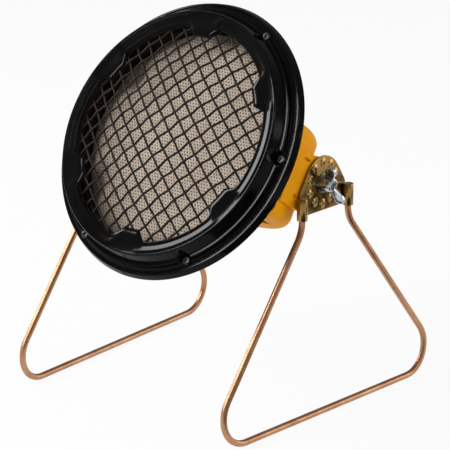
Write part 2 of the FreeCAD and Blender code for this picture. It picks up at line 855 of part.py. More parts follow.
def shield_screw_places():
    return [(f"{across} * shield_screw_across", f"{up} * shield_screw_up")
            for across in (-1, 1) for up in (-1, 1)]


def shell_block(name, inset, front):
    """The housing's outside, or its hollow where it is inset: a yoke with a round back and soft edges."""
    body = new_body(name)
    sketch = sketch_on(body, "XZ_Plane", name + "Plan", "shell_drop")
    width = f"(shell_half_width - {inset})"
    depth = f"(shell_depth - {inset})"
    bend = f"(shell_depth - shell_front - {inset})"
    middle = "(shell_half_width - shell_depth + shell_front)"
    draw_loop(sketch, [
        (f"-{width}", front),
        (width, front),
        (width, "-shell_front"),
        (middle, f"-{depth}", f"-{bend}"),
        (f"-{middle}", f"-{depth}"),
        (f"-{width}", "-shell_front", f"-{bend}"),
    ])
    height = value(f"shell_half_height - {inset}")
    middle_height = -value("shell_drop")
    pull(body, "Pad", sketch, f"2 * (shell_half_height - {inset})", symmetric=True)
    brow = value(front)

    def on_soft_edge(edge):
        level = all(abs(abs(point.Y - middle_height) - height) < 1e-6 for point in edge.Vertexes)
        ahead = all(abs(point.Z - brow) < 1e-6 for point in edge.Vertexes)
        return level and not ahead

    soften(body, f"shell_round - {inset}", on_soft_edge)
    return body


def make_housing_shell():
    outside = shell_block("shellOutside", "0", "slip_gap - shell_front")
    hollow = shell_block("shellHollow", "shell_wall", "2 * shell_wall - shell_front")
    skin = cut("shellSkin", outside, [hollow])

    posts = []
    for across, up in shield_screw_places():
        posts.append(cylinder("shieldPost", "post_radius", "shell_depth - shield_back",
                              (across, up, "-shell_depth")))
    inner = doc.addObject("Part::Common", "innerPosts")
    inner.Base = joined("postSet", posts)
    inner.Tool = outside

    boss_foot = f"{boss_top} - control_boss_root"
    grown = [skin, inner]
    grown.append(cylinder("knobBoss", "knob_boss_radius", "control_boss_root",
                          ("0", boss_foot, "-spindle_setback"), "Y"))
    grown.append(cylinder("piezoBoss", "piezo_boss_radius", "control_boss_root",
                          ("piezo_across", boss_foot, "-piezo_setback"), "Y"))
    tools = []
    for sign in (1, -1):
        foot = "boss_root" if sign > 0 else "-bracket_face"
        grown.append(cylinder("pivotBoss", "boss_radius", "bracket_face - boss_root",
                              (foot, "pivot_rise", "-pivot_setback"), "X"))
        pad_foot = "pad_root" if sign > 0 else "pad_step - bracket_face"
        grown.append(box("bracketPad", "bracket_face - pad_step - pad_root",
                         "pad_height_above + pad_height_below", "pad_length",
                         (pad_foot, "-pad_height_below", "-pad_start - pad_length")))
        bore_foot = "bracket_face - insert_length" if sign > 0 else "-bracket_face"
        tools.append(cylinder("insertBore", "insert_radius + slip_gap", "insert_length",
                              (bore_foot, "pivot_rise", "-pivot_setback"), "X"))
        mark_face = "bracket_face - pad_step - pad_hole_depth" if sign > 0 else "pad_step - bracket_face"
        tools.append(cylinder("padMark", "pad_hole_radius", "pad_hole_depth",
                              (mark_face, "-pad_hole_up", "-pad_mark_back"), "X"))
        tools.append(box("padSlot", "pad_hole_depth", "pad_slot_width", "pad_slot_length",
                         (mark_face, "pad_slot_up", "-pad_mark_back - pad_slot_length / 2")))

    # Room for the pan and the shield, then the holes and vents
    tools.append(cylinder("panRoom", "pan_radius + pan_gauge + pan_room",
                          "pan_ledge_depth + pan_gauge + pan_room",
                          ("0", "0", "-pan_ledge_depth - pan_gauge - pan_room")))
    tools.append(cylinder("plenumRoom", "plenum_radius + pan_gauge + pan_room", "shield_back",
                          ("0", "0", "-shield_back")))
    for across, up in shield_screw_places():
        tools.append(cylinder("shieldPilot", "screw_radius + slip_gap", "shield_screw_length + slip_gap",
                              (across, up, "-shield_back - shield_screw_length")))
    tools.append(cylinder("valveHole", "valve_radius + slip_gap", "2 * shell_wall",
                          ("0", "0", "-shell_depth - shell_wall / 2")))
    for across, up in on_circle("collar_screw_circle", "collar_screw_count", "90"):
        tools.append(cylinder("collarHole", "screw_radius + screw_room", "2 * shell_wall",
                              (across, up, "-shell_depth - shell_wall / 2")))
    tools.append(cylinder("spindleHole", "spindle_radius + spindle_hole_room", "2 * control_boss_root",
                          ("0", f"{boss_foot} - shell_wall", "-spindle_setback"), "Y"))
    tools.append(cylinder("piezoHole", "piezo_radius + slip_gap", "2 * control_boss_root",
                          ("piezo_across", f"{boss_foot} - shell_wall", "-piezo_setback"), "Y"))
    lead_exit = lead_route()[1]
    tools.append(cylinder("leadHole", "lead_hole_radius", "2 * shell_wall",
                          (lead_exit[0], f"{shell_bottom} - shell_wall / 2", lead_exit[2]), "Y"))
    for sign in (1, -1):
        for number in range(round(value("vent_count"))):
            middle = f"{sign} * (vent_first + {number} * vent_pitch)"
            corner = (f"{middle} - vent_width / 2", "-vent_height / 2", "-shell_depth - shell_wall")
            tools.append(box("vent", "vent_width", "vent_height", "vent_reach", corner))
    shell = cut("housing_shell", joined("shellGrown", grown), tools)
    keep_on_head(shell, "housing_shell")


def make_valve():
    socket_floor = "socket_depth - valve_back"
    seal_floor = "socket_depth + seal_thickness - valve_back"
    body = turned_body("valve_body", [
        ("jet_thread_radius + turn_gap", "-valve_front"),
        ("jet_thread_radius + turn_gap", "-valve_front - jet_thread_length - slip_gap"),
        ("valve_passage_radius", "-valve_front - jet_thread_length - slip_gap"),
        ("valve_passage_radius", seal_floor),
        ("seal_radius + slip_gap", seal_floor),
        ("seal_radius + slip_gap", socket_floor),
        ("socket_radius", socket_floor),
        ("socket_radius", "-valve_back"),
        ("valve_radius", "-valve_back"),
        ("valve_radius", "shell_wall - shell_depth"),
        ("valve_flange_radius", "shell_wall - shell_depth"),
        ("valve_flange_radius", "shell_wall + valve_flange_gauge - shell_depth"),
        ("valve_radius", "shell_wall + valve_flange_gauge - shell_depth"),
        ("valve_radius", "-valve_front"),
    ])
    stem = sketch_on(body, "XZ_Plane", "valveStem", "-needle_seat_height")
    draw_circle(stem, "0", "-spindle_setback", "valve_stem_radius")
    pull(body, "Pad", stem, "valve_stem_height - needle_seat_height", reverse=True)
    round_hole(body, "XZ_Plane", "needleSeat", ("0", "-spindle_setback"), "valve_passage_radius",
               "needle_seat_height")
    round_hole(body, "XZ_Plane", "spindleBore", ("0", "-spindle_setback"), "spindle_radius + turn_gap",
               "valve_stem_height", "-needle_seat_height")
    screw_hole = round_hole(body, "XY_Plane", "flangeHole", ("0", "collar_screw_circle"),
                            "screw_radius + turn_gap", "3 * valve_flange_gauge",
                            "shell_wall + 2 * valve_flange_gauge - shell_depth")
    repeat(body, [screw_hole], "collar_screw_count")
    keep_on_head(body, "valve_body")

    up_stem = ("0", "0", "-spindle_setback")
    spindle = turned_body("valve_spindle", [
        ("0", "needle_seat_height + slide_gap"),
        ("needle_tip_radius", "needle_seat_height + slide_gap"),
        ("spindle_radius", "needle_seat_height + needle_length"),
        ("spindle_radius", "groove_height"),
        ("spindle_radius - groove_depth", "groove_height"),
        ("spindle_radius - groove_depth", "groove_height + groove_width"),
        ("spindle_radius", "groove_height + groove_width"),
        ("spindle_radius", "spindle_top"),
        ("knob_screw_radius + turn_gap", "spindle_top"),
        ("knob_screw_radius + turn_gap", "spindle_top - knob_screw_length"),
        ("0", "spindle_top - knob_screw_length"),
    ])
    keep_on_head(spindle, "valve_spindle", up_stem, along["Y"])
    seal = doc.addObject("Part::Torus", "spindle_seal")
    tie(seal, Radius1="spindle_radius - groove_depth / 2", Radius2="groove_depth / 2")
    middle = f"{up_stem[1]} + groove_height + groove_width / 2"
    keep_on_head(seal, "spindle_seal", (up_stem[0], middle, up_stem[2]), along["Y"])
    hexagon = doc.addObject("Part::Prism", "glandBlank")
    hexagon.Polygon = 6
    tie(hexagon, Circumradius="gland_radius", Height="gland_height")
    bore = cylinder("glandBore", "spindle_radius + turn_gap", "2 * gland_height",
                    ("0", "0", "-gland_height / 2"))
    keep_on_head(cut("gland_nut", hexagon, [bore]), "gland_nut",
                 ("0", "valve_stem_height", up_stem[2]), along["Y"])

    seal = turned_body("cartridge_seal", [
        ("seal_inner_radius", seal_floor),
        ("seal_radius", seal_floor),
        ("seal_radius", socket_floor),
        ("seal_inner_radius", socket_floor),
    ])
    keep_on_head(seal, "cartridge_seal")
    root = "valve_passage_radius - turn_gap"
    push_pin = turned_body("cartridge_pin", [
        ("0", f"{seal_floor} + pin_root"),
        (root, f"{seal_floor} + pin_root"),
        (root, seal_floor),
        ("pin_radius", seal_floor),
        ("pin_radius", f"{socket_floor} + pin_radius / 2"),
        ("pin_radius / 2", socket_floor),
        ("0", socket_floor),
    ])
    keep_on_head(push_pin, "cartridge_pin")
    rim = "-shell_depth - collar_thickness"
    collar = turned_body("cartridge_collar", [
        ("valve_radius + slip_gap", "-shell_depth"),
        ("valve_radius + slip_gap", rim),
        ("collar_radius - collar_rim_width", rim),
        ("collar_radius - collar_rim_width", f"{rim} - collar_rim_height"),
        ("collar_radius", f"{rim} - collar_rim_height"),
        ("collar_radius", "-shell_depth"),
    ])
    sink = "collar_screw_sink - collar_thickness - shell_depth"
    shank = round_hole(collar, "XY_Plane", "collarShank", ("0", "collar_screw_circle"),
                       "screw_radius + screw_room", "2 * collar_thickness", "-shell_depth")
    head = round_hole(collar, "XY_Plane", "collarSink", ("0", "collar_screw_circle"),
                      "screw_head_radius + screw_room", "collar_thickness", sink)
    repeat(collar, [shank, head], "collar_screw_count")
    keep_on_head(collar, "cartridge_collar")
    screw = pan_head_screw("collarScrew", "collar_screw_length")
    circle = on_circle("collar_screw_circle", "collar_screw_count", "90")
    flipped = Rotation(Vector(1, 0, 0), 180)
    places = [(across, f"-({up})", f"-({sink})") for across, up in circle]
    keep_on_head(set_of("collar_screws", screw, places), "collar_screws", turn=flipped)


def make_knob():
    roof = "knob_height - knob_roof"
    dish = "knob_height - knob_dish"
    bore = "spindle_radius + slip_gap"
    foot = f"{boss_top} + knob_lift"
    top = f"spindle_top - ({foot}) + slip_gap"
    body = turned_body("control_knob", [
        (bore, "knob_wall"),
        ("knob_hub_radius", "knob_wall"),
        ("knob_hub_radius", roof),
        ("knob_radius - knob_wall", roof),
        ("knob_radius - knob_wall", "0"),
        ("knob_radius", "0"),
        ("knob_top_radius", "knob_height"),
        ("knob_screw_head_radius + screw_room", "knob_height"),
        ("knob_screw_head_radius + screw_room", dish),
        ("knob_screw_radius + screw_room", dish),
        ("knob_screw_radius + screw_room", top),
        (bore, top),
    ])
    outer_top = value("knob_top_radius")
    soften(body, "knob_round",
           lambda edge: hasattr(edge.Curve, "Radius") and abs(edge.Curve.Radius - outer_top) < 1e-6)
    grip = round_hole(body, "XY_Plane", "knobGrip", ("knob_radius + knob_grip_radius / 2", "0"),
                      "knob_grip_radius", "knob_height", "knob_grip_start", reverse=True)
    repeat(body, [grip], "knob_grip_count")
    mark = sketch_on(body, "XY_Plane", "knobMark", "knob_height - knob_mark_height")
    draw_loop(mark, [
        ("-knob_mark_width / 2", "knob_screw_head_radius + 2 * knob_round"),
        ("knob_mark_width / 2", "knob_screw_head_radius + 2 * knob_round"),
        ("knob_mark_width / 2", "knob_screw_head_radius + 2 * knob_round + knob_mark_length"),
        ("-knob_mark_width / 2", "knob_screw_head_radius + 2 * knob_round + knob_mark_length"),
    ])
    pull(body, "Pad", mark, "2 * knob_mark_height")
    keep_on_head(body, "control_knob", ("0", foot, "-spindle_setback"), along["Y"])
    screw = turned_body("knob_screw", [
        ("0", f"{dish} - knob_screw_length"),
        ("knob_screw_radius", f"{dish} - knob_screw_length"),
        ("knob_screw_radius", dish),
        ("knob_screw_head_radius", dish),
        ("knob_screw_head_radius", f"{dish} + knob_screw_head_height"),
        ("0", f"{dish} + knob_screw_head_height"),
    ])
    keep_on_head(screw, "knob_screw", ("0", foot, "-spindle_setback"), along["Y"])


def lead_route():
    """Points of the spark lead, from the igniter's foot to its seat against the tail of the electrode."""
    seat = "(electrode_tail + lead_radius + slip_gap)"
    spark_across = f"{seat} * cos(spark_turn)"
    spark_up = f"{seat} * sin(spark_turn)"
    return [
        ("piezo_across", f"{boss_top} - piezo_length", "-piezo_setback"),
        ("piezo_across", f"{shell_bottom} - lead_drop", "-piezo_setback"),
        ("piezo_across", f"{shell_bottom} - lead_hang", "-pan_floor_depth"),
        (spark_across, spark_up, "-pan_ledge_depth"),
        (spark_across, spark_up, "electrode_radius - spark_depth"),
    ]


def make_igniter():
    stand = ("piezo_across", "0", "-piezo_setback")
    body = turned_body("piezo_body", [
        ("0", f"{boss_top} - piezo_length"),
        ("piezo_radius", f"{boss_top} - piezo_length"),
        ("piezo_radius", boss_top),
        ("piezo_flange_radius", boss_top),
        ("piezo_flange_radius", f"{boss_top} + piezo_flange_gauge"),
        ("piezo_bore_radius", f"{boss_top} + piezo_flange_gauge"),
        ("piezo_bore_radius", f"{boss_top} - piezo_bore_depth"),
        ("0", f"{boss_top} - piezo_bore_depth"),
    ])
    keep_on_head(body, "piezo_body", stand, along["Y"])
    shoulder = "piezo_bore_radius - slide_gap"
    button = turned_body("piezo_button", [
        ("0", f"{boss_top} + button_top - button_length"),
        (shoulder, f"{boss_top} + button_top - button_length"),
        (shoulder, f"{boss_top} + button_top - button_round"),
        (f"{shoulder} - button_round", f"{boss_top} + button_top", "button_round"),
        ("0", f"{boss_top} + button_top"),
    ])
    keep_on_head(button, "piezo_button", stand, along["Y"])

    outward = Rotation(Vector(0, 0, 1), value("spark_turn")).multiply(along["X"])
    at = ("0", "0", "-spark_depth")
    outer_wall = "pan_radius + pan_gauge"
    insulator = turned_body("electrode_insulator", [
        ("electrode_radius + slip_gap", "insulator_start"),
        ("electrode_radius + slip_gap", "insulator_end"),
        ("insulator_radius", "insulator_end"),
        ("insulator_radius", f"{outer_wall} + insulator_collar_gauge"),
        ("insulator_collar_radius", f"{outer_wall} + insulator_collar_gauge"),
        ("insulator_collar_radius", outer_wall),
        ("insulator_radius", outer_wall),
        ("insulator_radius", "insulator_start"),
    ])
    keep_on_head(insulator, "electrode_insulator", at, outward)
    electrode = turned_body("spark_electrode", [
        ("0", "electrode_reach"),
        ("electrode_radius", "electrode_reach"),
        ("electrode_radius", "electrode_tail"),
        ("0", "electrode_tail"),
    ])
    keep_on_head(electrode, "spark_electrode", at, outward)


def make_ignition_lead():
    route = lead_route()
    lead = bent_wire("ignition_lead", route, "lead_radius", ["lead_bend_radius"] * (len(route) - 2))
    keep_on_head(lead, "ignition_lead")


def make_side(side):
    outer_face = "bracket_face + bracket_gauge"
    wire_across = "bracket_face + bracket_gauge + wire_radius + roll_room"
    roll_outer = "wire_radius + roll_room + bracket_gauge"
    bracket = new_body("bracket_" + side)
    plate = sketch_on(bracket, "YZ_Plane", "bracketPlate" + side, "bracket_face")
    crown = "sqrt(bracket_top_radius ^ 2 - bracket_shoulder_across ^ 2)"
    draw_loop(plate, [
        ("-socket_offset", "-bracket_bottom"),
        ("socket_offset", "-bracket_bottom"),
        ("socket_offset", "-bracket_side_top"),
        ("bracket_shoulder_across", crown),
        ("-bracket_shoulder_across", crown, "bracket_top_radius"),
        ("-socket_offset", "-bracket_side_top"),
    ])
    pull(bracket, "Pad", plate, "bracket_gauge")
    rolls = sketch_on(bracket, "XY_Plane", "bracketRolls" + side, "-roll_bottom")
    for sign in ("-", ""):
        draw_circle(rolls, wire_across, sign + "socket_offset", roll_outer)
        draw_circle(rolls, wire_across, sign + "socket_offset", "wire_radius + roll_room")
    pull(bracket, "Pad", rolls, "roll_bottom - roll_top")
    round_hole(bracket, "YZ_Plane", "bracketHole" + side, ("0", "0"),
               "pivot_screw_radius + bracket_hole_room", "3 * bracket_gauge",
               "bracket_face + 2 * bracket_gauge")
    dimple = bracket.newObject("PartDesign::AdditiveCone", "bracketDimple" + side)
    tie(dimple, Radius1="dimple_base_radius", Radius2="dimple_top_radius", Height="dimple_height")
    dimple.Placement = Placement(spot((outer_face, "0", "dimple_circle")), along["X"])
    repeat(bracket, [dimple], "dimple_count", "X_Axis")
    keep_on_side(bracket, "bracket_" + side, side)

    # The feet stand wider apart than the sockets, and wider at the back than at the front.
    ground = "wire_radius - pivot_height"
    bend = "-roll_bottom - leg_bend_room"
    rear = 1 if side == "right" else -1
    wire = bent_wire("stand_wire_" + side, [
        (wire_across, "-socket_offset", "-roll_top"),
        (wire_across, "-socket_offset", bend),
        (f"{wire_across} + foot_spread - {rear} * foot_toe", "-base_half", ground),
        (f"{wire_across} + foot_spread + {rear} * foot_toe", "base_half", ground),
        (wire_across, "socket_offset", bend),
        (wire_across, "socket_offset", "-roll_top"),
    ], "wire_radius", ["leg_bend_radius", "foot_bend_radius", "foot_bend_radius", "leg_bend_radius"])
    keep_on_side(wire, "stand_wire_" + side, side)

    insert = turned_body("pivot_insert_" + side, [
        ("pivot_screw_radius + turn_gap", "bracket_face - insert_length"),
        ("insert_radius", "bracket_face - insert_length"),
        ("insert_radius", "bracket_face"),
        ("pivot_screw_radius + turn_gap", "bracket_face"),
    ])
    at = ("0", "pivot_rise", "-pivot_setback")
    toward = along["X"] if side == "right" else Rotation(Vector(0, 1, 0), -90)
    keep_on_head(insert, "pivot_insert_" + side, at, toward)
    washer = turned_body("pivot_washer_" + side, [
        ("pivot_screw_radius + slip_gap", outer_face),
        ("washer_radius", outer_face),
        ("washer_radius", f"{outer_face} + washer_gauge"),
        ("pivot_screw_radius + slip_gap", f"{outer_face} + washer_gauge"),
    ])
    keep_on_side(washer, "pivot_washer_" + side, side, along["X"])

    collar = f"{outer_face} + washer_gauge"
    screw = new_body("wing_screw_" + side)
    profile = sketch_on(screw, "XY_Plane", "wingHub" + side)
    draw_loop(profile, [
        ("bracket_face - insert_length", "0"),
        (f"{collar} + hub_length", "0"),
        (f"{collar} + hub_length", "hub_end_radius"),
        (collar, "hub_radius"),
        (collar, "pivot_screw_radius"),
        ("bracket_face - insert_length", "pivot_screw_radius"),
    ])
    turn_profile(screw, profile, "X_Axis")
    ear = sketch_on(screw, "XZ_Plane", "wingEar" + side)
    middle = f"{collar} + ear_out"
    height = "ear_span / 2 - ear_radius"
    draw_loop(ear, [
        (f"{collar} + washer_gauge", "ear_root"),
        (f"{middle} - ear_radius", height),
        (middle, "ear_span / 2", "-ear_radius"),
        (f"{middle} + ear_radius", height, "-ear_radius"),
        (f"{collar} + hub_length - slip_gap", "ear_root"),
    ])
    blade = pull(screw, "Pad", ear, "ear_thickness", symmetric=True)
    twin = screw.newObject("PartDesign::Mirrored", "wingTwin" + side)
    twin.Originals = [blade]
    twin.MirrorPlane = (origin_of(screw, "XY_Plane"), [""])
    screw.Tip = twin
    keep_on_side(screw, "wing_screw_" + side, side, Rotation(Vector(1, 0, 0), value("wing_turn")))


make_front_bezel()
make_mesh_guard()
make_guard_ring()
make_burner()
make_mixing_tube_and_jet()
make_heat_shield()
make_housing_shell()
make_valve()
make_knob()
make_igniter()
make_ignition_lead()
make_side("left")
make_side("right")
doc.recompute()

faults = [item.Name for item in doc.Objects if {"Invalid", "Error"} & set(item.State)]
faults += [item.Label for item in finished if item.Shape.isNull() or not item.Shape.isValid()]
if faults:
    raise RuntimeError("pieces that failed: " + ", ".join(faults))

os.makedirs("parts", exist_ok=True)
for item in finished:
    item.Shape.exportStep(f"parts/{item.Label}.step")
    print(f"{item.Label}: {len(item.Shape.Solids)} solids, {item.Shape.Volume:.0f} mm3")
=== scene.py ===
import json
import math

import bmesh
import bpy
from mathutils import Matrix, Vector


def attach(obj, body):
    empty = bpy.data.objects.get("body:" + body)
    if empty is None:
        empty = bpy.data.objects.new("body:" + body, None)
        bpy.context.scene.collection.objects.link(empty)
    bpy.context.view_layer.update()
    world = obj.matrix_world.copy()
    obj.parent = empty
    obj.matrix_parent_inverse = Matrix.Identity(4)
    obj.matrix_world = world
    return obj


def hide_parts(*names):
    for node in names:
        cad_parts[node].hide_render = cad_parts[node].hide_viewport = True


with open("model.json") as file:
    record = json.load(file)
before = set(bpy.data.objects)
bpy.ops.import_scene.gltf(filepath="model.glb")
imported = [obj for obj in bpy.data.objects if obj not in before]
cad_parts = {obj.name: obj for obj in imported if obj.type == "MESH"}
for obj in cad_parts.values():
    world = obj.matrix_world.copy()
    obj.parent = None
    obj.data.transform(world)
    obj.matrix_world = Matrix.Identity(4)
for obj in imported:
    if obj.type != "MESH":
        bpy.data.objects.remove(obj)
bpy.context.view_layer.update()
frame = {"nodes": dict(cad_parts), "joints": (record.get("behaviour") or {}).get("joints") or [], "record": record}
nodes = frame["nodes"]
print("frame loaded:", len(nodes), "nodes")

# Places. Pieces are drawn in millimetres: on the head with z out of the front and y up the face,
# on the sides about the tilt axis.
mm = 0.001
stance = {"pivotRise": 1.5, "pivotSetback": 41.8}
joints = {joint["name"]: joint for joint in frame["joints"]}
across = Vector((1, 0, 0))
faceUp = Vector(joints["gas_turn"]["axis"])
faceOut = across.cross(faceUp)
pivot = Vector((0, 0, joints["right_tilt"]["pos_m"][2]))
rimCentre = pivot + mm * (stance["pivotSetback"] * faceOut - stance["pivotRise"] * faceUp)
headPlace = Matrix.Translation(rimCentre) @ Matrix((across, faceUp, faceOut)).transposed().to_4x4()
headPlace = headPlace @ Matrix.Scale(mm, 4)
sidePlace = {
    "right": Matrix.Translation(pivot) @ Matrix.Scale(mm, 4),
    "left": Matrix.Translation(pivot) @ Matrix.Rotation(math.pi, 4, "Z") @ Matrix.Scale(mm, 4),
}


def tint(red, green, blue):
    def linear(part):
        part = part / 255
        return part / 12.92 if part <= 0.04045 else ((part + 0.055) / 1.055) ** 2.4
    return (linear(red), linear(green), linear(blue), 1)


# Shared effects
def newGroup(name, inputs, outputs):
    group = bpy.data.node_groups.new(name, "ShaderNodeTree")
    for label, default in inputs.items():
        kind = "NodeSocketColor" if isinstance(default, tuple) else "NodeSocketFloat"
        group.interface.new_socket(label, in_out="INPUT", socket_type=kind).default_value = default
    for label, kind in outputs.items():
        group.interface.new_socket(label, in_out="OUTPUT", socket_type=kind)
    return group, group.nodes.new("NodeGroupInput"), group.nodes.new("NodeGroupOutput")


def addNode(tree, kind, settings=(), **sockets):
    node = tree.nodes.new(kind)
    for name, setting in dict(settings).items():
        setattr(node, name, setting)
    for name, source in sockets.items():
        socket = node.inputs[int(name[1:])] if name[0] == "i" and name[1:].isdigit() else node.inputs[name]
        if isinstance(source, bpy.types.NodeSocket):
            tree.links.new(source, socket)
        else:
            socket.default_value = source
    return node


def makeMottle():
    # Soft patches from 0 to 1, for colour and gloss that vary a little
    group, given, result = newGroup("mottle", {"Scale": 40.0, "Detail": 3.0, "From": 0.0, "To": 1.0},
                                    {"Value": "NodeSocketFloat"})
    place = addNode(group, "ShaderNodeTexCoord")
    noise = addNode(group, "ShaderNodeTexNoise", Vector=place.outputs["Object"],
                    Scale=given.outputs["Scale"], Detail=given.outputs["Detail"])
    spread = addNode(group, "ShaderNodeMapRange", i0=noise.outputs["Fac"], i1=0.3, i2=0.7,
                     i3=given.outputs["From"], i4=given.outputs["To"])
    group.links.new(spread.outputs["Result"], result.inputs["Value"])
    return group


def makeGrain():
    # Fine raised grain as a normal
    group, given, result = newGroup("grain", {"Scale": 900.0, "Strength": 0.2, "Height": 0.0002},
                                    {"Normal": "NodeSocketVector"})
    place = addNode(group, "ShaderNodeTexCoord")
    noise = addNode(group, "ShaderNodeTexNoise", Vector=place.outputs["Object"],
                    Scale=given.outputs["Scale"], Detail=2.0)
    bump = addNode(group, "ShaderNodeBump", Strength=given.outputs["Strength"],
                   Distance=given.outputs["Height"], Height=noise.outputs["Fac"])
    group.links.new(bump.outputs["Normal"], result.inputs["Normal"])
    return group


def makeEdgeWear():
    # Convex edges, broken up by noise
    group, given, result = newGroup("edgeWear", {"Width": 0.0006, "Scale": 300.0, "Amount": 1.0},
                                    {"Mask": "NodeSocketFloat"})
    place = addNode(group, "ShaderNodeTexCoord")
    face = addNode(group, "ShaderNodeNewGeometry")
    rounded = addNode(group, "ShaderNodeBevel", {"samples": 4}, Radius=given.outputs["Width"])
    likeness = addNode(group, "ShaderNodeVectorMath", {"operation": "DOT_PRODUCT"},
                       i0=face.outputs["Normal"], i1=rounded.outputs["Normal"])
    edge = addNode(group, "ShaderNodeMapRange", i0=likeness.outputs["Value"], i1=0.995, i2=0.93,
                   i3=0.0, i4=1.0)
    noise = addNode(group, "ShaderNodeTexNoise", Vector=place.outputs["Object"],
                    Scale=given.outputs["Scale"], Detail=4.0)
    broken = addNode(group, "ShaderNodeMapRange", i0=noise.outputs["Fac"], i1=0.4, i2=0.62, i3=0.0, i4=1.0)
    both = addNode(group, "ShaderNodeMath", {"operation": "MULTIPLY"},
                   i0=edge.outputs["Result"], i1=broken.outputs["Result"])
    mask = addNode(group, "ShaderNodeMath", {"operation": "MULTIPLY", "use_clamp": True},
                   i0=both.outputs["Value"], i1=given.outputs["Amount"])
    group.links.new(mask.outputs["Value"], result.inputs["Mask"])
    return group


def makeOcclusionShade():
    # Mask of hidden corners and recesses from ambient occlusion, for painted shade in colour
    group, given, result = newGroup("occlusionShade", {"Reach": 0.006, "Amount": 1.0},
                                    {"Mask": "NodeSocketFloat"})
    shade = addNode(group, "ShaderNodeAmbientOcclusion", {"samples": 4}, Distance=given.outputs["Reach"])
    dark = addNode(group, "ShaderNodeMapRange", i0=shade.outputs["AO"], i1=0.9, i2=0.3, i3=0.0, i4=1.0)
    mask = addNode(group, "ShaderNodeMath", {"operation": "MULTIPLY", "use_clamp": True},
                   i0=dark.outputs["Result"], i1=given.outputs["Amount"])
    group.links.new(mask.outputs["Value"], result.inputs["Mask"])
    return group


mottle = makeMottle()
grain = makeGrain()
edgeWear = makeEdgeWear()
occlusionShade = makeOcclusionShade()
print("shared effects made")


# Finishes, one for each slot of the record
finishes = {}


def newFinish(slot, **principled):
    material = bpy.data.materials.new(slot)
    material.use_nodes = True
    tree = material.node_tree
    shader = tree.nodes["Principled BSDF"]
    for name, setting in principled.items():
        shader.inputs[name.replace("_", " ")].default_value = setting
    finishes[slot] = material
    return tree, shader


def useGroup(tree, group, **values):
    node = tree.nodes.new("ShaderNodeGroup")
    node.node_tree = group
    for name, setting in values.items():
        node.inputs[name].default_value = setting
    return node.outputs[0]


def mixColours(tree, factor, first, second):
    mix = addNode(tree, "ShaderNodeMix", {"data_type": "RGBA"}, i0=factor, i6=first, i7=second)
    return mix.outputs[2]


def feed(tree, shader, **sources):
    for name, source in sources.items():
        tree.links.new(source, shader.inputs[name.replace("_", " ")])


def makeEnamel():
    look = {"black": tint(6, 5, 5), "grey": tint(13, 12, 12), "worn": tint(48, 45, 43)}
    tree, shader = newFinish("black_enamel", Specular_IOR_Level=0.08)
    patches = useGroup(tree, mottle, Scale=25.0, Detail=2.0)
    base = mixColours(tree, patches, look["black"], look["grey"])
    wear = useGroup(tree, edgeWear, Width=0.0004, Scale=420.0, Amount=0.35)
    feed(tree, shader, Base_Color=mixColours(tree, wear, base, look["worn"]),
         Roughness=useGroup(tree, mottle, Scale=60.0, Detail=4.0, From=0.1, To=0.16),
         Normal=useGroup(tree, grain, Scale=260.0, Strength=0.03, Height=0.0004))


def makeDarkMetals():
    look = {
        "dark_wire": {"dark": tint(24, 16, 10), "light": tint(42, 30, 20), "metal": 0.2,
                      "rough": (0.5, 0.7)},
        "dark_steel": {"dark": tint(17, 16, 15), "light": tint(38, 35, 33), "metal": 0.3,
                       "rough": (0.4, 0.6)},
        "screwBlack": {"dark": tint(48, 46, 45), "light": tint(78, 76, 74), "metal": 1.0,
                       "rough": (0.28, 0.42)},
    }
    for slot, finish in look.items():
        tree, shader = newFinish(slot, Metallic=finish["metal"], Specular_IOR_Level=0.25)
        patches = useGroup(tree, mottle, Scale=180.0, Detail=5.0)
        low, high = finish["rough"]
        feed(tree, shader, Base_Color=mixColours(tree, patches, finish["dark"], finish["light"]),
             Roughness=useGroup(tree, mottle, Scale=90.0, Detail=3.0, From=low, To=high),
             Normal=useGroup(tree, grain, Scale=1500.0, Strength=0.25, Height=0.0001))


def makeTileFinish():
    look = {"pale": tint(226, 210, 194), "warm": tint(212, 194, 176), "scorched": tint(176, 158, 142),
            "wallShade": tint(62, 56, 48)}
    tree, shader = newFinish("tile", Specular_IOR_Level=0.2)
    patches = useGroup(tree, mottle, Scale=30.0, Detail=3.0)
    specks = useGroup(tree, mottle, Scale=1400.0, Detail=2.0, From=0.0, To=0.7)
    base = mixColours(tree, patches, look["pale"], look["warm"])
    fired = mixColours(tree, specks, base, look["scorched"])
    # Painted shade: the tile's colour darkens near the guard ring wall, where the occlusion mask finds shade
    wallShadeMask = useGroup(tree, occlusionShade, Reach=0.016, Amount=1.0)
    feed(tree, shader, Base_Color=mixColours(tree, wallShadeMask, fired, look["wallShade"]),
         Roughness=useGroup(tree, mottle, Scale=500.0, Detail=2.0, From=0.85, To=1.0),
         Normal=useGroup(tree, grain, Scale=2200.0, Strength=0.5, Height=0.0002))


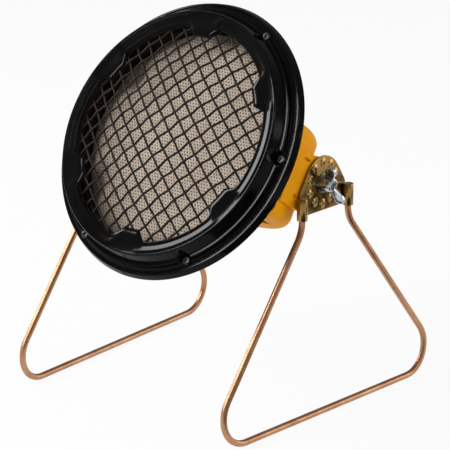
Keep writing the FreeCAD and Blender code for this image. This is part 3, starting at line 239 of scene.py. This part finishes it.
def makePlastics():
    look = {
        "amber_plastic": {"main": tint(255, 174, 0), "shade": tint(246, 160, 0), "edge": tint(254, 196, 50),
                          "gloss": 0.08, "rough": (0.46, 0.56), "grain": (1300.0, 0.08)},
        "black_plastic": {"main": tint(24, 24, 25), "shade": tint(34, 34, 35), "edge": tint(70, 70, 70),
                          "gloss": 0.3, "rough": (0.42, 0.55), "grain": (2200.0, 0.2)},
        "red_plastic": {"main": tint(176, 26, 20), "shade": tint(160, 20, 16), "edge": tint(205, 70, 60),
                        "gloss": 0.4, "rough": (0.28, 0.38), "grain": (1500.0, 0.06)},
        "seal_rubber": {"main": tint(22, 22, 22), "shade": tint(34, 33, 32), "edge": tint(45, 45, 45),
                        "gloss": 0.2, "rough": (0.65, 0.8), "grain": (1800.0, 0.2)},
        "lead_cover": {"main": tint(36, 35, 35), "shade": tint(50, 48, 47), "edge": tint(60, 60, 60),
                       "gloss": 0.3, "rough": (0.5, 0.65), "grain": (1600.0, 0.15)},
    }
    for slot, finish in look.items():
        tree, shader = newFinish(slot, Specular_IOR_Level=finish["gloss"])
        patches = useGroup(tree, mottle, Scale=35.0, Detail=2.0)
        base = mixColours(tree, patches, finish["main"], finish["shade"])
        wear = useGroup(tree, edgeWear, Width=0.0005, Scale=260.0, Amount=0.5)
        low, high = finish["rough"]
        size, strength = finish["grain"]
        feed(tree, shader, Base_Color=mixColours(tree, wear, base, finish["edge"]),
             Roughness=useGroup(tree, mottle, Scale=220.0, Detail=3.0, From=low, To=high),
             Normal=useGroup(tree, grain, Scale=size, Strength=strength, Height=0.0001))


def makeMetals():
    look = {
        "yellow_zinc": {"main": tint(134, 114, 56), "second": tint(168, 126, 78),
                        "edge": tint(226, 208, 156), "cornerShade": tint(58, 46, 20),
                        "rough": (0.16, 0.28), "patch": 150.0, "grain": (240.0, 0.16), "wear": 0.6},
        "copper_wire": {"main": tint(172, 122, 88), "second": tint(200, 154, 118),
                        "edge": tint(236, 200, 170), "cornerShade": tint(96, 58, 36),
                        "rough": (0.34, 0.44), "patch": 70.0, "grain": (300.0, 0.03), "wear": 0.05},
        "bright_zinc": {"main": tint(205, 207, 208), "second": tint(186, 190, 194),
                        "edge": tint(232, 233, 234), "cornerShade": tint(62, 62, 62),
                        "rough": (0.16, 0.3), "patch": 140.0, "grain": (1200.0, 0.1), "wear": 0.6},
        "brass": {"main": tint(205, 170, 96), "second": tint(186, 146, 74),
                  "edge": tint(232, 208, 150), "cornerShade": tint(84, 62, 28),
                  "rough": (0.22, 0.36), "patch": 90.0, "grain": (1500.0, 0.1), "wear": 0.6},
        "steel": {"main": tint(150, 149, 147), "second": tint(122, 120, 117),
                  "edge": tint(190, 190, 188), "cornerShade": tint(60, 58, 56),
                  "rough": (0.3, 0.45), "patch": 60.0, "grain": (1100.0, 0.12), "wear": 0.6},
    }
    for slot, finish in look.items():
        tree, shader = newFinish(slot, Metallic=1.0)
        patches = useGroup(tree, mottle, Scale=finish["patch"], Detail=3.0)
        base = mixColours(tree, patches, finish["main"], finish["second"])
        wear = useGroup(tree, edgeWear, Width=0.0004, Scale=350.0, Amount=finish["wear"])
        worn = mixColours(tree, wear, base, finish["edge"])
        # Painted shade: the colour darkens in tight corners found by ambient occlusion
        cornerShade = useGroup(tree, occlusionShade, Reach=0.002, Amount=0.8)
        cornerShaded = mixColours(tree, cornerShade, worn, finish["cornerShade"])
        low, high = finish["rough"]
        size, strength = finish["grain"]
        feed(tree, shader, Base_Color=cornerShaded,
             Roughness=useGroup(tree, mottle, Scale=260.0, Detail=4.0, From=low, To=high),
             Normal=useGroup(tree, grain, Scale=size, Strength=strength, Height=0.0001))


def makeCeramicsAndFelt():
    look = {"felt": tint(222, 216, 204), "feltShade": tint(190, 182, 168), "glaze": tint(236, 234, 226),
            "glazeShade": tint(222, 218, 208)}
    tree, shader = newFinish("fibre", Sheen_Weight=0.3)
    strands = useGroup(tree, mottle, Scale=900.0, Detail=6.0)
    feed(tree, shader, Base_Color=mixColours(tree, strands, look["felt"], look["feltShade"]),
         Roughness=useGroup(tree, mottle, Scale=300.0, Detail=2.0, From=0.85, To=1.0),
         Normal=useGroup(tree, grain, Scale=1500.0, Strength=0.6, Height=0.0003))
    tree, shader = newFinish("glazed_white", Coat_Weight=0.6, Coat_Roughness=0.05)
    clouds = useGroup(tree, mottle, Scale=120.0, Detail=2.0)
    feed(tree, shader, Base_Color=mixColours(tree, clouds, look["glaze"], look["glazeShade"]),
         Roughness=useGroup(tree, mottle, Scale=200.0, Detail=2.0, From=0.12, To=0.2))


makeEnamel()
makeDarkMetals()
makeTileFinish()
makePlastics()
makeMetals()
makeCeramicsAndFelt()
slotOf = {item["node"]: item["material_slot"] for item in frame["record"]["subparts"]}
for name, node in nodes.items():
    node.data.materials.clear()
    node.data.materials.append(finishes[slotOf[name]])
print("finishes made:", len(finishes))


# Making pieces
fullTurn = 2 * math.pi


def finishPiece(name, bm, node, body, place, sharp=40):
    bmesh.ops.transform(bm, matrix=place, verts=bm.verts)
    mesh = bpy.data.meshes.new(name)
    bm.to_mesh(mesh)
    bm.free()
    mesh.shade_smooth()
    mesh.set_sharp_from_angle(angle=math.radians(sharp))
    mesh.materials.append(finishes[slotOf[node]])
    piece = bpy.data.objects.new(name, mesh)
    bpy.context.scene.collection.objects.link(piece)
    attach(piece, body)
    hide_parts(node)
    return piece


def vertsIn(geom):
    return [item for item in geom if isinstance(item, bmesh.types.BMVert)]


def edgesIn(geom):
    return [item for item in geom if isinstance(item, bmesh.types.BMEdge)]


def growRing(bm, ring):
    grown = bmesh.ops.extrude_edge_only(bm, edges=ring)["geom"]
    return vertsIn(grown), edgesIn(grown)


def absorb(bm, part):
    # Adds a finished bmesh to another and frees it
    mesh = bpy.data.meshes.new("part")
    part.to_mesh(mesh)
    part.free()
    bm.from_mesh(mesh)
    bpy.data.meshes.remove(mesh)


def drawLine(bm, points, closed=False):
    # points are (x, y, z, rounding)
    made = [bm.verts.new(point[:3]) for point in points]
    for first, second in zip(made, made[1:]):
        bm.edges.new((first, second))
    if closed:
        bm.edges.new((made[-1], made[0]))
    for vert, point in zip(made, points):
        if point[3]:
            bmesh.ops.bevel(bm, geom=[vert], offset=point[3], segments=4, profile=0.5,
                            affect="VERTICES", material=-1)


def spinAround(bm, steps, turn=fullTurn):
    bmesh.ops.spin(bm, geom=bm.verts[:] + bm.edges[:], cent=(0, 0, 0), axis=(0, 0, 1), dvec=(0, 0, 0),
                   angle=turn, steps=steps, use_merge=turn == fullTurn)
    bmesh.ops.remove_doubles(bm, verts=bm.verts, dist=1e-4)
    bmesh.ops.recalc_face_normals(bm, faces=bm.faces)


def rise(low, high, at):
    # Smooth step from 0 at low to 1 at high
    part = min(max((at - low) / (high - low), 0), 1)
    return part * part * (3 - 2 * part)


# Pressed bezel
def makeBezel():
    bezel = {
        "gauge": 1.0, "steps": 432, "step": 0.9,
        "profile": [  # radius, rise, rounding
            (88.2, 0, 0), (89, 0.2, 0.4), (87.9, 2.9, 0.6), (87.2, 4.4, 0.25), (86.9, 4.458, 0),
            (86.1, 4.613, 0), (85.8, 4.671, 0.25), (85.2, 4.1, 0.4), (83, 5, 0.5), (82.5, 8.5, 0.25),
            (82.2, 8.558, 0), (81.5, 8.694, 0), (81.2, 8.753, 0.25), (80.7, 8.3, 0.3), (80.2, 9.5, 0.4),
            (78.3, 15, 0.4), (77.7, 15.9, 0.3), (76.9, 15.71, 0.3), (75.2, 15.8, 0.4), (74.6, 15.66, 0),
            (72.6, 15.19, 0), (72.1, 15.07, 0.4), (69.6, 15.05, 0.4), (69.1, 14, 0)],
        "tabs": 6, "tabFlat": 6, "tabHalf": 13, "tabReach": 7.1, "tabStretch": (70, 76), "tabLevel": 15.15,
        "tabSlope": (74.4, 77), "tabTip": ((71.6, 0.45), (70.4, 0.1)),
        "screwCircle": 82.3, "seatRise": 4.9, "seatRadius": 3.1, "seatWall": 1.3}
    bm = bmesh.new()
    drawLine(bm, [(radius, 0, height, rounding) for radius, height, rounding in bezel["profile"]])
    for edge in bm.edges[:]:
        cuts = int(edge.calc_length() / bezel["step"])
        if cuts:
            bmesh.ops.subdivide_edges(bm, edges=[edge], cuts=cuts)
    spinAround(bm, bezel["steps"])
    pitch = fullTurn / bezel["tabs"]
    slopeEnd, slopeStart = bezel["tabSlope"]
    for vert in bm.verts:
        radius = vert.co.xy.length
        turn = math.atan2(vert.co.y, vert.co.x)
        # Six flat tongues reach in over the guard, below the crest of the lip
        offTab = ((turn % pitch) - pitch / 2) * bezel["profile"][-2][0]
        tongue = 1 - rise(bezel["tabFlat"], bezel["tabHalf"], abs(offTab))
        level = bezel["tabLevel"] - sum(slope * max(0, start - radius) for start, slope in bezel["tabTip"])
        lowered = min(max((slopeStart - radius) / (slopeStart - slopeEnd), 0), 1)
        vert.co.z += (level - vert.co.z) * tongue * lowered
        vert.co.xy *= 1 - bezel["tabReach"] * tongue * (1 - rise(*bezel["tabStretch"], radius)) / radius
        # Screw seats
        near = round(turn / pitch) * pitch
        seat = Vector((math.cos(near), math.sin(near))) * bezel["screwCircle"]
        away = (vert.co.xy - seat).length
        sunk = 1 - rise(bezel["seatRadius"], bezel["seatRadius"] + bezel["seatWall"], away)
        if vert.co.z > bezel["seatRise"]:
            vert.co.z += (bezel["seatRise"] - vert.co.z) * sunk
    bmesh.ops.recalc_face_normals(bm, faces=bm.faces)
    if sum(face.normal.z * face.calc_area() for face in bm.faces) < 0:
        bmesh.ops.reverse_faces(bm, faces=bm.faces)
    bmesh.ops.solidify(bm, geom=bm.faces[:], thickness=bezel["gauge"])
    finishPiece("pressedBezel", bm, "front_bezel", "head", headPlace)


# Woven guard: wires bend over and under each other, the weft more than the warp
def makeGuard():
    guard = {"pitch": 8.3, "wire": 1.4, "lay": 47.8, "reach": 69.9, "ball": 280, "seat": 10.4, "weft": 0.6,
             "warp": 0.35, "steps": 10, "shift": (0.5, 0.5), "roundness": 2}
    border = {"profile": [(73.3, 11.3, 0.3), (73.3, 13, 0.6), (69.6, 13, 0.8), (69.6, 11.3, 0.6)],
              "steps": 128}
    foot = guard["seat"] + guard["wire"] / 2 - math.sqrt(guard["ball"] ** 2 - guard["reach"] ** 2)
    lay = Matrix.Rotation(math.radians(guard["lay"]), 3, "Z")
    curve = bpy.data.curves.new("guardWires", "CURVE")
    curve.dimensions = "3D"
    curve.bevel_depth = guard["wire"] / 2
    curve.bevel_resolution = guard["roundness"]
    curve.use_fill_caps = True
    count = math.ceil(guard["reach"] / guard["pitch"])
    step = guard["pitch"] / guard["steps"]
    for family, crimp in enumerate((guard["weft"], -guard["warp"])):
        shiftAcross, shiftAlong = guard["shift"][1 - family], guard["shift"][family]
        for number in range(-count, count + 1):
            offset = (number + shiftAcross) * guard["pitch"]
            if abs(offset) > guard["reach"] - guard["wire"]:
                continue
            half = math.sqrt(guard["reach"] ** 2 - offset ** 2)
            spots = math.ceil(2 * half / step)
            spline = curve.splines.new("POLY")
            spline.points.add(spots)
            for spot, point in enumerate(spline.points):
                run = half * (2 * spot / spots - 1)
                flat = Vector((run, offset, 0)) if family == 0 else Vector((offset, run, 0))
                wave = crimp * math.cos(math.pi * (run / guard["pitch"] - shiftAlong + number))
                dome = foot + math.sqrt(guard["ball"] ** 2 - flat.length_squared)
                atEdge = rise(guard["reach"] - guard["pitch"], guard["reach"], flat.length)
                flat.z = dome + wave * (1 - atEdge)
                point.co = (*(lay @ flat), 1)
    drawn = bpy.data.objects.new("guardWires", curve)
    bpy.context.scene.collection.objects.link(drawn)
    bpy.context.view_layer.update()
    woven = bpy.data.meshes.new_from_object(drawn.evaluated_get(bpy.context.evaluated_depsgraph_get()))
    bpy.data.objects.remove(drawn)
    bpy.data.curves.remove(curve)
    bm = bmesh.new()
    section = [(radius, 0, height, rounding) for radius, height, rounding in border["profile"]]
    drawLine(bm, section, closed=True)
    spinAround(bm, border["steps"])
    bm.from_mesh(woven)
    bpy.data.meshes.remove(woven)
    finishPiece("wovenGuard", bm, "mesh_guard", "head", headPlace)


# Burner tile with its field of fine holes
def makeTile():
    tile = {"radius": 71, "face": -4, "back": -17, "chamfer": 0.6, "pitch": 2.2, "field": 68.4, "web": 0.7,
            "depth": 0.6, "rim": 120, "weld": 0.02}
    rowPitch = tile["pitch"] * math.sqrt(0.75)  # rows of a hexagonal field
    bm = bmesh.new()
    cell = bmesh.ops.create_circle(bm, cap_ends=True, segments=6, radius=tile["pitch"] / math.sqrt(3))
    count = math.ceil(tile["field"] / tile["pitch"])
    base = bm.verts[:] + bm.edges[:] + bm.faces[:]
    bmesh.ops.translate(bm, vec=(-count * tile["pitch"], 0, 0), verts=cell["verts"])
    for number in range(1, 2 * count + 1):
        copy = bmesh.ops.duplicate(bm, geom=base)["geom"]
        bmesh.ops.translate(bm, vec=(number * tile["pitch"], 0, 0), verts=vertsIn(copy))
    row = bm.verts[:] + bm.edges[:] + bm.faces[:]
    rows = math.ceil(tile["field"] / rowPitch)
    for number in range(-rows, rows + 1):
        if number:
            copy = bmesh.ops.duplicate(bm, geom=row)["geom"]
            shift = (number % 2 * tile["pitch"] / 2, number * rowPitch, 0)
            bmesh.ops.translate(bm, vec=shift, verts=vertsIn(copy))
    outside = [face for face in bm.faces if face.calc_center_median().length > tile["field"]]
    bmesh.ops.delete(bm, geom=outside, context="FACES")
    bmesh.ops.remove_doubles(bm, verts=bm.verts, dist=tile["weld"])
    cells = bm.faces[:]
    bmesh.ops.create_circle(bm, segments=tile["rim"], radius=tile["radius"] - tile["chamfer"])
    ring = [edge for edge in bm.edges if edge.is_wire]
    edges = ring + [edge for edge in bm.edges if edge.is_boundary]
    bmesh.ops.triangle_fill(bm, use_beauty=True, edges=edges, normal=(0, 0, 1))
    bmesh.ops.inset_individual(bm, faces=cells, thickness=tile["web"])
    floors = bmesh.ops.extrude_discrete_faces(bm, faces=cells)["faces"]
    sunk = list({vert for face in floors for vert in face.verts})
    bmesh.ops.translate(bm, vec=(0, 0, -tile["depth"]), verts=sunk)
    side = tile["face"] - tile["back"] - tile["chamfer"]
    for drop in (tile["chamfer"], side):
        rim, ring = growRing(bm, ring)
        share = tile["radius"] / rim[0].co.xy.length
        bmesh.ops.scale(bm, vec=(share, share, 1), verts=rim)
        bmesh.ops.translate(bm, vec=(0, 0, -drop), verts=rim)
    bmesh.ops.contextual_create(bm, geom=ring)
    bmesh.ops.recalc_face_normals(bm, faces=bm.faces)
    bmesh.ops.translate(bm, vec=(0, 0, tile["face"]), verts=bm.verts)
    finishPiece("burnerTile", bm, "ceramic_plate", "head", headPlace)


# Side brackets with pressed bumps and rolled sockets
def makeBracket(side):
    bracket = {
        "face": 80.35, "gauge": 1.2, "edge": 0.3,
        "outline": [(-22.5, -17, 1), (22.5, -17, 1), (22.5, -3, 2.5), (15.5, 7.5, 3), (11.5, 12.6, 3),
                    (4.5, 16.8, 4), (-4.5, 16.8, 4), (-11.5, 12.6, 3), (-15.5, 7.5, 3), (-22.5, -3, 2.5)],
        "bumps": 10, "bumpCircle": 12.8, "bumpRadius": 3, "bumpRise": 0.8, "bumpSides": (64, 48),
        "socket": 22.5, "socketTop": -4.5, "socketBottom": -18, "socketSteps": 30, "wire": 2.05, "seam": 40}
    bm = bmesh.new()
    drawLine(bm, [(bracket["face"], y, z, rounding) for y, z, rounding in bracket["outline"]], closed=True)
    plate = bmesh.ops.contextual_create(bm, geom=bm.edges[:])["faces"]
    grown = bmesh.ops.extrude_face_region(bm, geom=plate)["geom"]
    bmesh.ops.translate(bm, vec=(bracket["gauge"], 0, 0), verts=vertsIn(grown))
    bmesh.ops.recalc_face_normals(bm, faces=bm.faces)
    rims = [edge for edge in bm.edges if abs(edge.verts[0].co.x - edge.verts[1].co.x) < 0.01]
    bmesh.ops.bevel(bm, geom=rims, offset=bracket["edge"], segments=3, profile=0.5, affect="EDGES",
                    material=-1)
    outside = bracket["face"] + bracket["gauge"]
    # Each bump is the cap of a ball that stands out of the plate
    ball = (bracket["bumpRadius"] ** 2 / bracket["bumpRise"] + bracket["bumpRise"]) / 2
    aroundBall, overBall = bracket["bumpSides"]
    for number in range(bracket["bumps"]):
        turn = fullTurn * number / bracket["bumps"]
        onCircle = Vector((0, -math.sin(turn), math.cos(turn))) * bracket["bumpCircle"]
        spot = onCircle + Vector((outside, 0, 0))
        centre = spot + Vector((bracket["bumpRise"] - ball, 0, 0))
        bump = bmesh.new()
        bmesh.ops.create_uvsphere(bump, u_segments=aroundBall, v_segments=overBall, radius=ball,
                                  matrix=Matrix.Translation(centre))
        bmesh.ops.bisect_plane(bump, geom=bump.verts[:] + bump.edges[:] + bump.faces[:], plane_co=spot,
                               plane_no=(1, 0, 0), clear_inner=True)
        bmesh.ops.holes_fill(bump, edges=[edge for edge in bump.edges if edge.is_boundary])
        absorb(bm, bump)
    reach = bracket["wire"] + bracket["gauge"]
    seamTurn = Matrix.Rotation(math.radians(180 + bracket["seam"] / 2), 4, "Z")
    for sign in (-1, 1):
        socket = bmesh.new()
        drawLine(socket, [(reach, 0, bracket["socketTop"], 0), (reach, 0, bracket["socketBottom"], 0)])
        spinAround(socket, bracket["socketSteps"], math.radians(360 - bracket["seam"]))
        bmesh.ops.solidify(socket, geom=socket.faces[:], thickness=bracket["gauge"])
        bmesh.ops.recalc_face_normals(socket, faces=socket.faces)
        ends = [edge for edge in socket.edges if edge.calc_face_angle(0) > 1]
        bmesh.ops.bevel(socket, geom=ends, offset=bracket["edge"], segments=2, profile=0.5, affect="EDGES",
                        material=-1)
        middle = Vector((outside + bracket["wire"], sign * bracket["socket"], 0))
        bmesh.ops.transform(socket, matrix=Matrix.Translation(middle) @ seamTurn, verts=socket.verts)
        absorb(bm, socket)
    finishPiece(f"{side}Bracket", bm, f"bracket_{side}", f"{side}_stand", sidePlace[side])


# Bent wire stands: a round section pulled along the straight runs and spun round the bends
def makeStandWire(side):
    wire = {"radius": 2, "sides": 24, "out": 83.6, "socket": 22.5, "top": -4.5, "bend": -25, "base": 112.4,
            "ground": -142, "spread": 5.4, "toe": 6.4 if side == "right" else -6.4, "bends": (20, 18, 18, 20),
            "bendSteps": 14}
    out, socket, base = wire["out"], wire["socket"], wire["base"]
    foot = out + wire["spread"]
    route = [Vector(point) for point in (
        (out, -socket, wire["top"]), (out, -socket, wire["bend"]),
        (foot - wire["toe"], -base, wire["ground"]), (foot + wire["toe"], base, wire["ground"]),
        (out, socket, wire["bend"]), (out, socket, wire["top"]))]
    bm = bmesh.new()
    facing = (route[1] - route[0]).to_track_quat("Z", "Y").to_matrix().to_4x4()
    bmesh.ops.create_circle(bm, cap_ends=True, segments=wire["sides"], radius=wire["radius"],
                            matrix=Matrix.Translation(route[0]) @ facing)
    ring, spot = bm.edges[:], route[0]
    for corner, ahead, radius in zip(route[1:-1], route[2:], wire["bends"]):
        into, away = (corner - spot).normalized(), (ahead - corner).normalized()
        turn = into.angle(away)
        axis = into.cross(away).normalized()
        start = corner - into * radius * math.tan(turn / 2)
        rim, ring = growRing(bm, ring)
        bmesh.ops.translate(bm, vec=start - spot, verts=rim)
        spun = bmesh.ops.spin(bm, geom=ring, cent=start + axis.cross(into) * radius, axis=axis,
                              dvec=(0, 0, 0), angle=turn, steps=wire["bendSteps"])["geom_last"]
        ring = edgesIn(spun)
        spot = corner + away * radius * math.tan(turn / 2)
    rim, ring = growRing(bm, ring)
    bmesh.ops.translate(bm, vec=route[-1] - spot, verts=rim)
    bmesh.ops.contextual_create(bm, geom=ring)
    bmesh.ops.recalc_face_normals(bm, faces=bm.faces)
    finishPiece(f"{side}StandWire", bm, f"stand_wire_{side}", f"{side}_stand", sidePlace[side])


# Wing screws: a turned hub with two pressed ears
def makeWingScrew(side):
    screw = {"turn": 25, "shank": (66.35, 2.5), "collar": 82.55, "hub": 5.5, "hubEnd": 4.2, "hubLength": 7,
             "hubSteps": 48, "earThick": 2.4, "recess": 0.8, "recessSlope": 0.3, "earRim": 0.5, "edge": 0.25,
             "ear": [(83.6, 2.6, 0), (86.9, 8.6, 1.5), (87.7, 13.25, 2.4), (94.2, 13.25, 2.4), (94.2, 9, 1.8),
                     (89.4, 2.6, 0)]}
    bm = bmesh.new()
    end = screw["collar"] + screw["hubLength"]
    foot, shank = screw["shank"]
    drawLine(bm, [(0, 0, foot, 0), (shank, 0, foot, 0.4), (shank, 0, screw["collar"], 0),
                  (screw["hub"], 0, screw["collar"], 0.4), (screw["hubEnd"], 0, end, 1.2), (0, 0, end, 0)])
    spinAround(bm, screw["hubSteps"])
    bmesh.ops.rotate(bm, matrix=Matrix.Rotation(math.pi / 2, 3, "Y"), verts=bm.verts)
    for sign in (1, -1):
        ear = bmesh.new()
        outline = [(x, -screw["earThick"] / 2, z * sign, rounding) for x, z, rounding in screw["ear"]]
        drawLine(ear, outline, closed=True)
        face = bmesh.ops.contextual_create(ear, geom=ear.edges[:])["faces"]
        grown = bmesh.ops.extrude_face_region(ear, geom=face)["geom"]
        bmesh.ops.translate(ear, vec=(0, screw["earThick"], 0), verts=vertsIn(grown))
        bmesh.ops.recalc_face_normals(ear, faces=ear.faces)
        flats = [item for item in ear.faces if abs(item.normal.y) > 0.9]
        rims = list({edge for flat in flats for edge in flat.edges})
        bmesh.ops.bevel(ear, geom=rims, offset=screw["edge"], segments=2, profile=0.5, affect="EDGES",
                        material=-1)
        flats = [item for item in ear.faces if abs(item.normal.y) > 0.99]
        bmesh.ops.inset_individual(ear, faces=flats, thickness=screw["earRim"])
        bmesh.ops.inset_individual(ear, faces=flats, thickness=screw["recessSlope"], depth=-screw["recess"])
        absorb(bm, ear)
    bmesh.ops.rotate(bm, matrix=Matrix.Rotation(math.radians(screw["turn"]), 3, "X"), verts=bm.verts)
    finishPiece(f"{side}WingScrew", bm, f"wing_screw_{side}", f"{side}_wing_screw", sidePlace[side], sharp=30)


# Cross-headed bezel screws
def makeScrews():
    screw = {"count": 6, "circle": 82.3, "seat": 4.9, "length": 6, "shank": 1.4, "sides": 32,
             "turns": (12, 70, 33, 5, 51, 80), "skirt": [(1.9, 1.8), (2.45, 1.55), (2.75, 1.0), (2.8, 0)],
             "arm": 1.5, "slot": 0.42, "depth": 1}
    arm, slot = screw["arm"], screw["slot"]
    heads = bmesh.new()
    for number in range(screw["count"]):
        bm = bmesh.new()
        corner = [(slot, slot), (slot, arm), (-slot, arm)]
        cross = [Matrix.Rotation(quarter * math.pi / 2, 2) @ Vector(point)
                 for quarter in range(4) for point in corner]
        drawLine(bm, [(*point, 0, 0) for point in cross], closed=True)
        recess = bmesh.ops.contextual_create(bm, geom=bm.edges[:])["faces"]
        inside = bm.edges[:]
        radius, height = screw["skirt"][0]
        bmesh.ops.create_circle(bm, segments=screw["sides"], radius=radius)
        ring = [edge for edge in bm.edges if edge.is_wire]
        bmesh.ops.triangle_fill(bm, use_beauty=True, edges=ring + inside, normal=(0, 0, 1))
        grown = bmesh.ops.extrude_face_region(bm, geom=recess)["geom"]
        bmesh.ops.delete(bm, geom=recess, context="FACES_ONLY")
        bmesh.ops.translate(bm, vec=(0, 0, -screw["depth"]), verts=vertsIn(grown))
        for wider, lower in screw["skirt"][1:] + [(screw["shank"], 0), (screw["shank"], -screw["length"])]:
            rim, ring = growRing(bm, ring)
            share = wider / rim[0].co.xy.length
            bmesh.ops.scale(bm, vec=(share, share, 1), verts=rim)
            bmesh.ops.translate(bm, vec=(0, 0, lower - height), verts=rim)
            height = lower
        bmesh.ops.contextual_create(bm, geom=ring)
        bmesh.ops.recalc_face_normals(bm, faces=bm.faces)
        turn = Matrix.Rotation(fullTurn * number / screw["count"], 4, "Z")
        out = Matrix.Translation((screw["circle"], 0, screw["seat"] + screw["skirt"][0][1]))
        own = Matrix.Rotation(math.radians(screw["turns"][number]), 4, "Z")
        bmesh.ops.transform(bm, matrix=turn @ out @ own, verts=bm.verts)
        absorb(heads, bm)
    piece = finishPiece("bezelScrews", heads, "bezel_screws", "head", headPlace, sharp=35)
    piece.data.materials[0] = finishes["screwBlack"]


makeBezel()
makeScrews()
print("bezel made")
makeGuard()
print("guard woven")
makeTile()
print("burner tile made")
for side in ("left", "right"):
    makeBracket(side)
    makeStandWire(side)
    makeWingScrew(side)
print("sides made")


# Floor, light and camera
def makeStage():
    stage = {"floor": 6.0, "drop": 0.0003, "pale": tint(226, 226, 226), "rough": 0.9, "gloss": 0.1,
             "glow": 0.93, "world": (0.26, 0.26, 0.26, 1)}
    bm = bmesh.new()
    bmesh.ops.create_grid(bm, x_segments=1, y_segments=1, size=stage["floor"])
    mesh = bpy.data.meshes.new("floor")
    bm.to_mesh(mesh)
    bm.free()
    material = bpy.data.materials.new("paleFloor")
    material.use_nodes = True
    tree = material.node_tree
    shader = tree.nodes["Principled BSDF"]
    shader.inputs["Base Color"].default_value = stage["pale"]
    shader.inputs["Roughness"].default_value = stage["rough"]
    shader.inputs["Specular IOR Level"].default_value = stage["gloss"]
    glow = addNode(tree, "ShaderNodeEmission", Color=(1, 1, 1, 1), Strength=1.0)
    rays = addNode(tree, "ShaderNodeLightPath")
    seen = addNode(tree, "ShaderNodeMath", {"operation": "ADD"}, i0=rays.outputs["Is Camera Ray"],
                   i1=rays.outputs["Is Glossy Ray"])
    through = addNode(tree, "ShaderNodeMath", {"operation": "ADD", "use_clamp": True},
                      i0=seen.outputs["Value"], i1=rays.outputs["Is Transmission Ray"])
    share = addNode(tree, "ShaderNodeMath", {"operation": "MULTIPLY"}, i0=through.outputs["Value"],
                    i1=stage["glow"])
    mix = addNode(tree, "ShaderNodeMixShader", Fac=share.outputs["Value"], i1=shader.outputs["BSDF"],
                  i2=glow.outputs["Emission"])
    tree.links.new(mix.outputs["Shader"], tree.nodes["Material Output"].inputs["Surface"])
    mesh.materials.append(material)
    floor = bpy.data.objects.new("floor", mesh)
    floor.location.z = -stage["drop"]
    bpy.context.scene.collection.objects.link(floor)
    world = bpy.data.worlds.new("studio")
    world.use_nodes = True
    world.node_tree.nodes["Background"].inputs["Color"].default_value = stage["world"]
    bpy.context.scene.world = world


def makeCard():
    # Two dark cards on the floor, right of the stands, which only reflections see: they paint shade into the
    # reflections of the brackets and wires
    card = {"patches": [((0.25, 0.6), (0.2, 0.65)), ((0.12, 0.45), (-0.25, 0.06))], "z": 0.0003,
            "dark": tint(62, 60, 57)}
    bm = bmesh.new()
    for (left, right), (front, back) in card["patches"]:
        spots = ((left, front), (right, front), (right, back), (left, back))
        bm.faces.new([bm.verts.new((*spot, card["z"])) for spot in spots])
    mesh = bpy.data.meshes.new("reflectedShadeCard")
    bm.to_mesh(mesh)
    bm.free()
    material = bpy.data.materials.new("reflectedShadeCard")
    material.use_nodes = True
    shader = material.node_tree.nodes["Principled BSDF"]
    shader.inputs["Base Color"].default_value = card["dark"]
    shader.inputs["Roughness"].default_value = 1
    shader.inputs["Specular IOR Level"].default_value = 0
    mesh.materials.append(material)
    holder = bpy.data.objects.new("reflectedShadeCard", mesh)
    for ray in ("camera", "diffuse", "transmission", "volume_scatter", "shadow"):
        setattr(holder, f"visible_{ray}", False)
    bpy.context.scene.collection.objects.link(holder)


def makeLamps():
    # place, direction its length lies along, length, width and radiance of each softbox
    aim = Vector((0, 0, 0.14))
    lamps = {
        "leftStrip": ((-1.153, -0.448, 0.827), (0.231, 0.055, 0.448), 0.7, 0.3, 20.0),
        "lowStrip": ((-0.436, -1.263, 0.757), (-0.286, -0.11, -0.417), 0.52, 0.12, 32.0),
        "highStrip": ((-0.321, -1.052, 1.121), (0.062, -0.313, -0.336), 0.5, 0.12, 32.0),
        "rightPanel": ((1.15, 0.1, 1.0), (0, 1, 0), 0.9, 0.35, 2.2),
        "backPanel": ((0.9, 1.0, 0.38), (1, -0.85, 0), 1.3, 0.55, 2.5),
    }
    for name, (place, along, length, width, radiance) in lamps.items():
        lamp = bpy.data.lights.new(name, "AREA")
        lamp.shape = "RECTANGLE"
        lamp.size = length
        lamp.size_y = width
        lamp.energy = radiance * math.pi * length * width
        back = (Vector(place) - aim).normalized()
        beside = back.cross(Vector(along)).normalized()
        holder = bpy.data.objects.new(name, lamp)
        holder.location = place
        holder.visible_camera = False
        holder.rotation_euler = Matrix((beside.cross(back), beside, back)).transposed().to_euler()
        bpy.context.scene.collection.objects.link(holder)


def makeCamera():
    view = {"eye": (0.80101, -0.94446, 0.47706), "aim": (0.0045, 0.00045, 0.10258), "lens": 164.78,
            "sensor": 36}
    lens = bpy.data.cameras.new("camera")
    lens.lens = view["lens"]
    lens.sensor_width = view["sensor"]
    camera = bpy.data.objects.new("camera", lens)
    camera.location = view["eye"]
    camera.rotation_euler = (Vector(view["aim"]) - Vector(view["eye"])).to_track_quat("-Z", "Y").to_euler()
    bpy.context.scene.collection.objects.link(camera)
    bpy.context.scene.camera = camera
    bpy.context.scene.view_settings.view_transform = "Standard"


makeStage()
makeCard()
makeLamps()
makeCamera()
print("stage set")
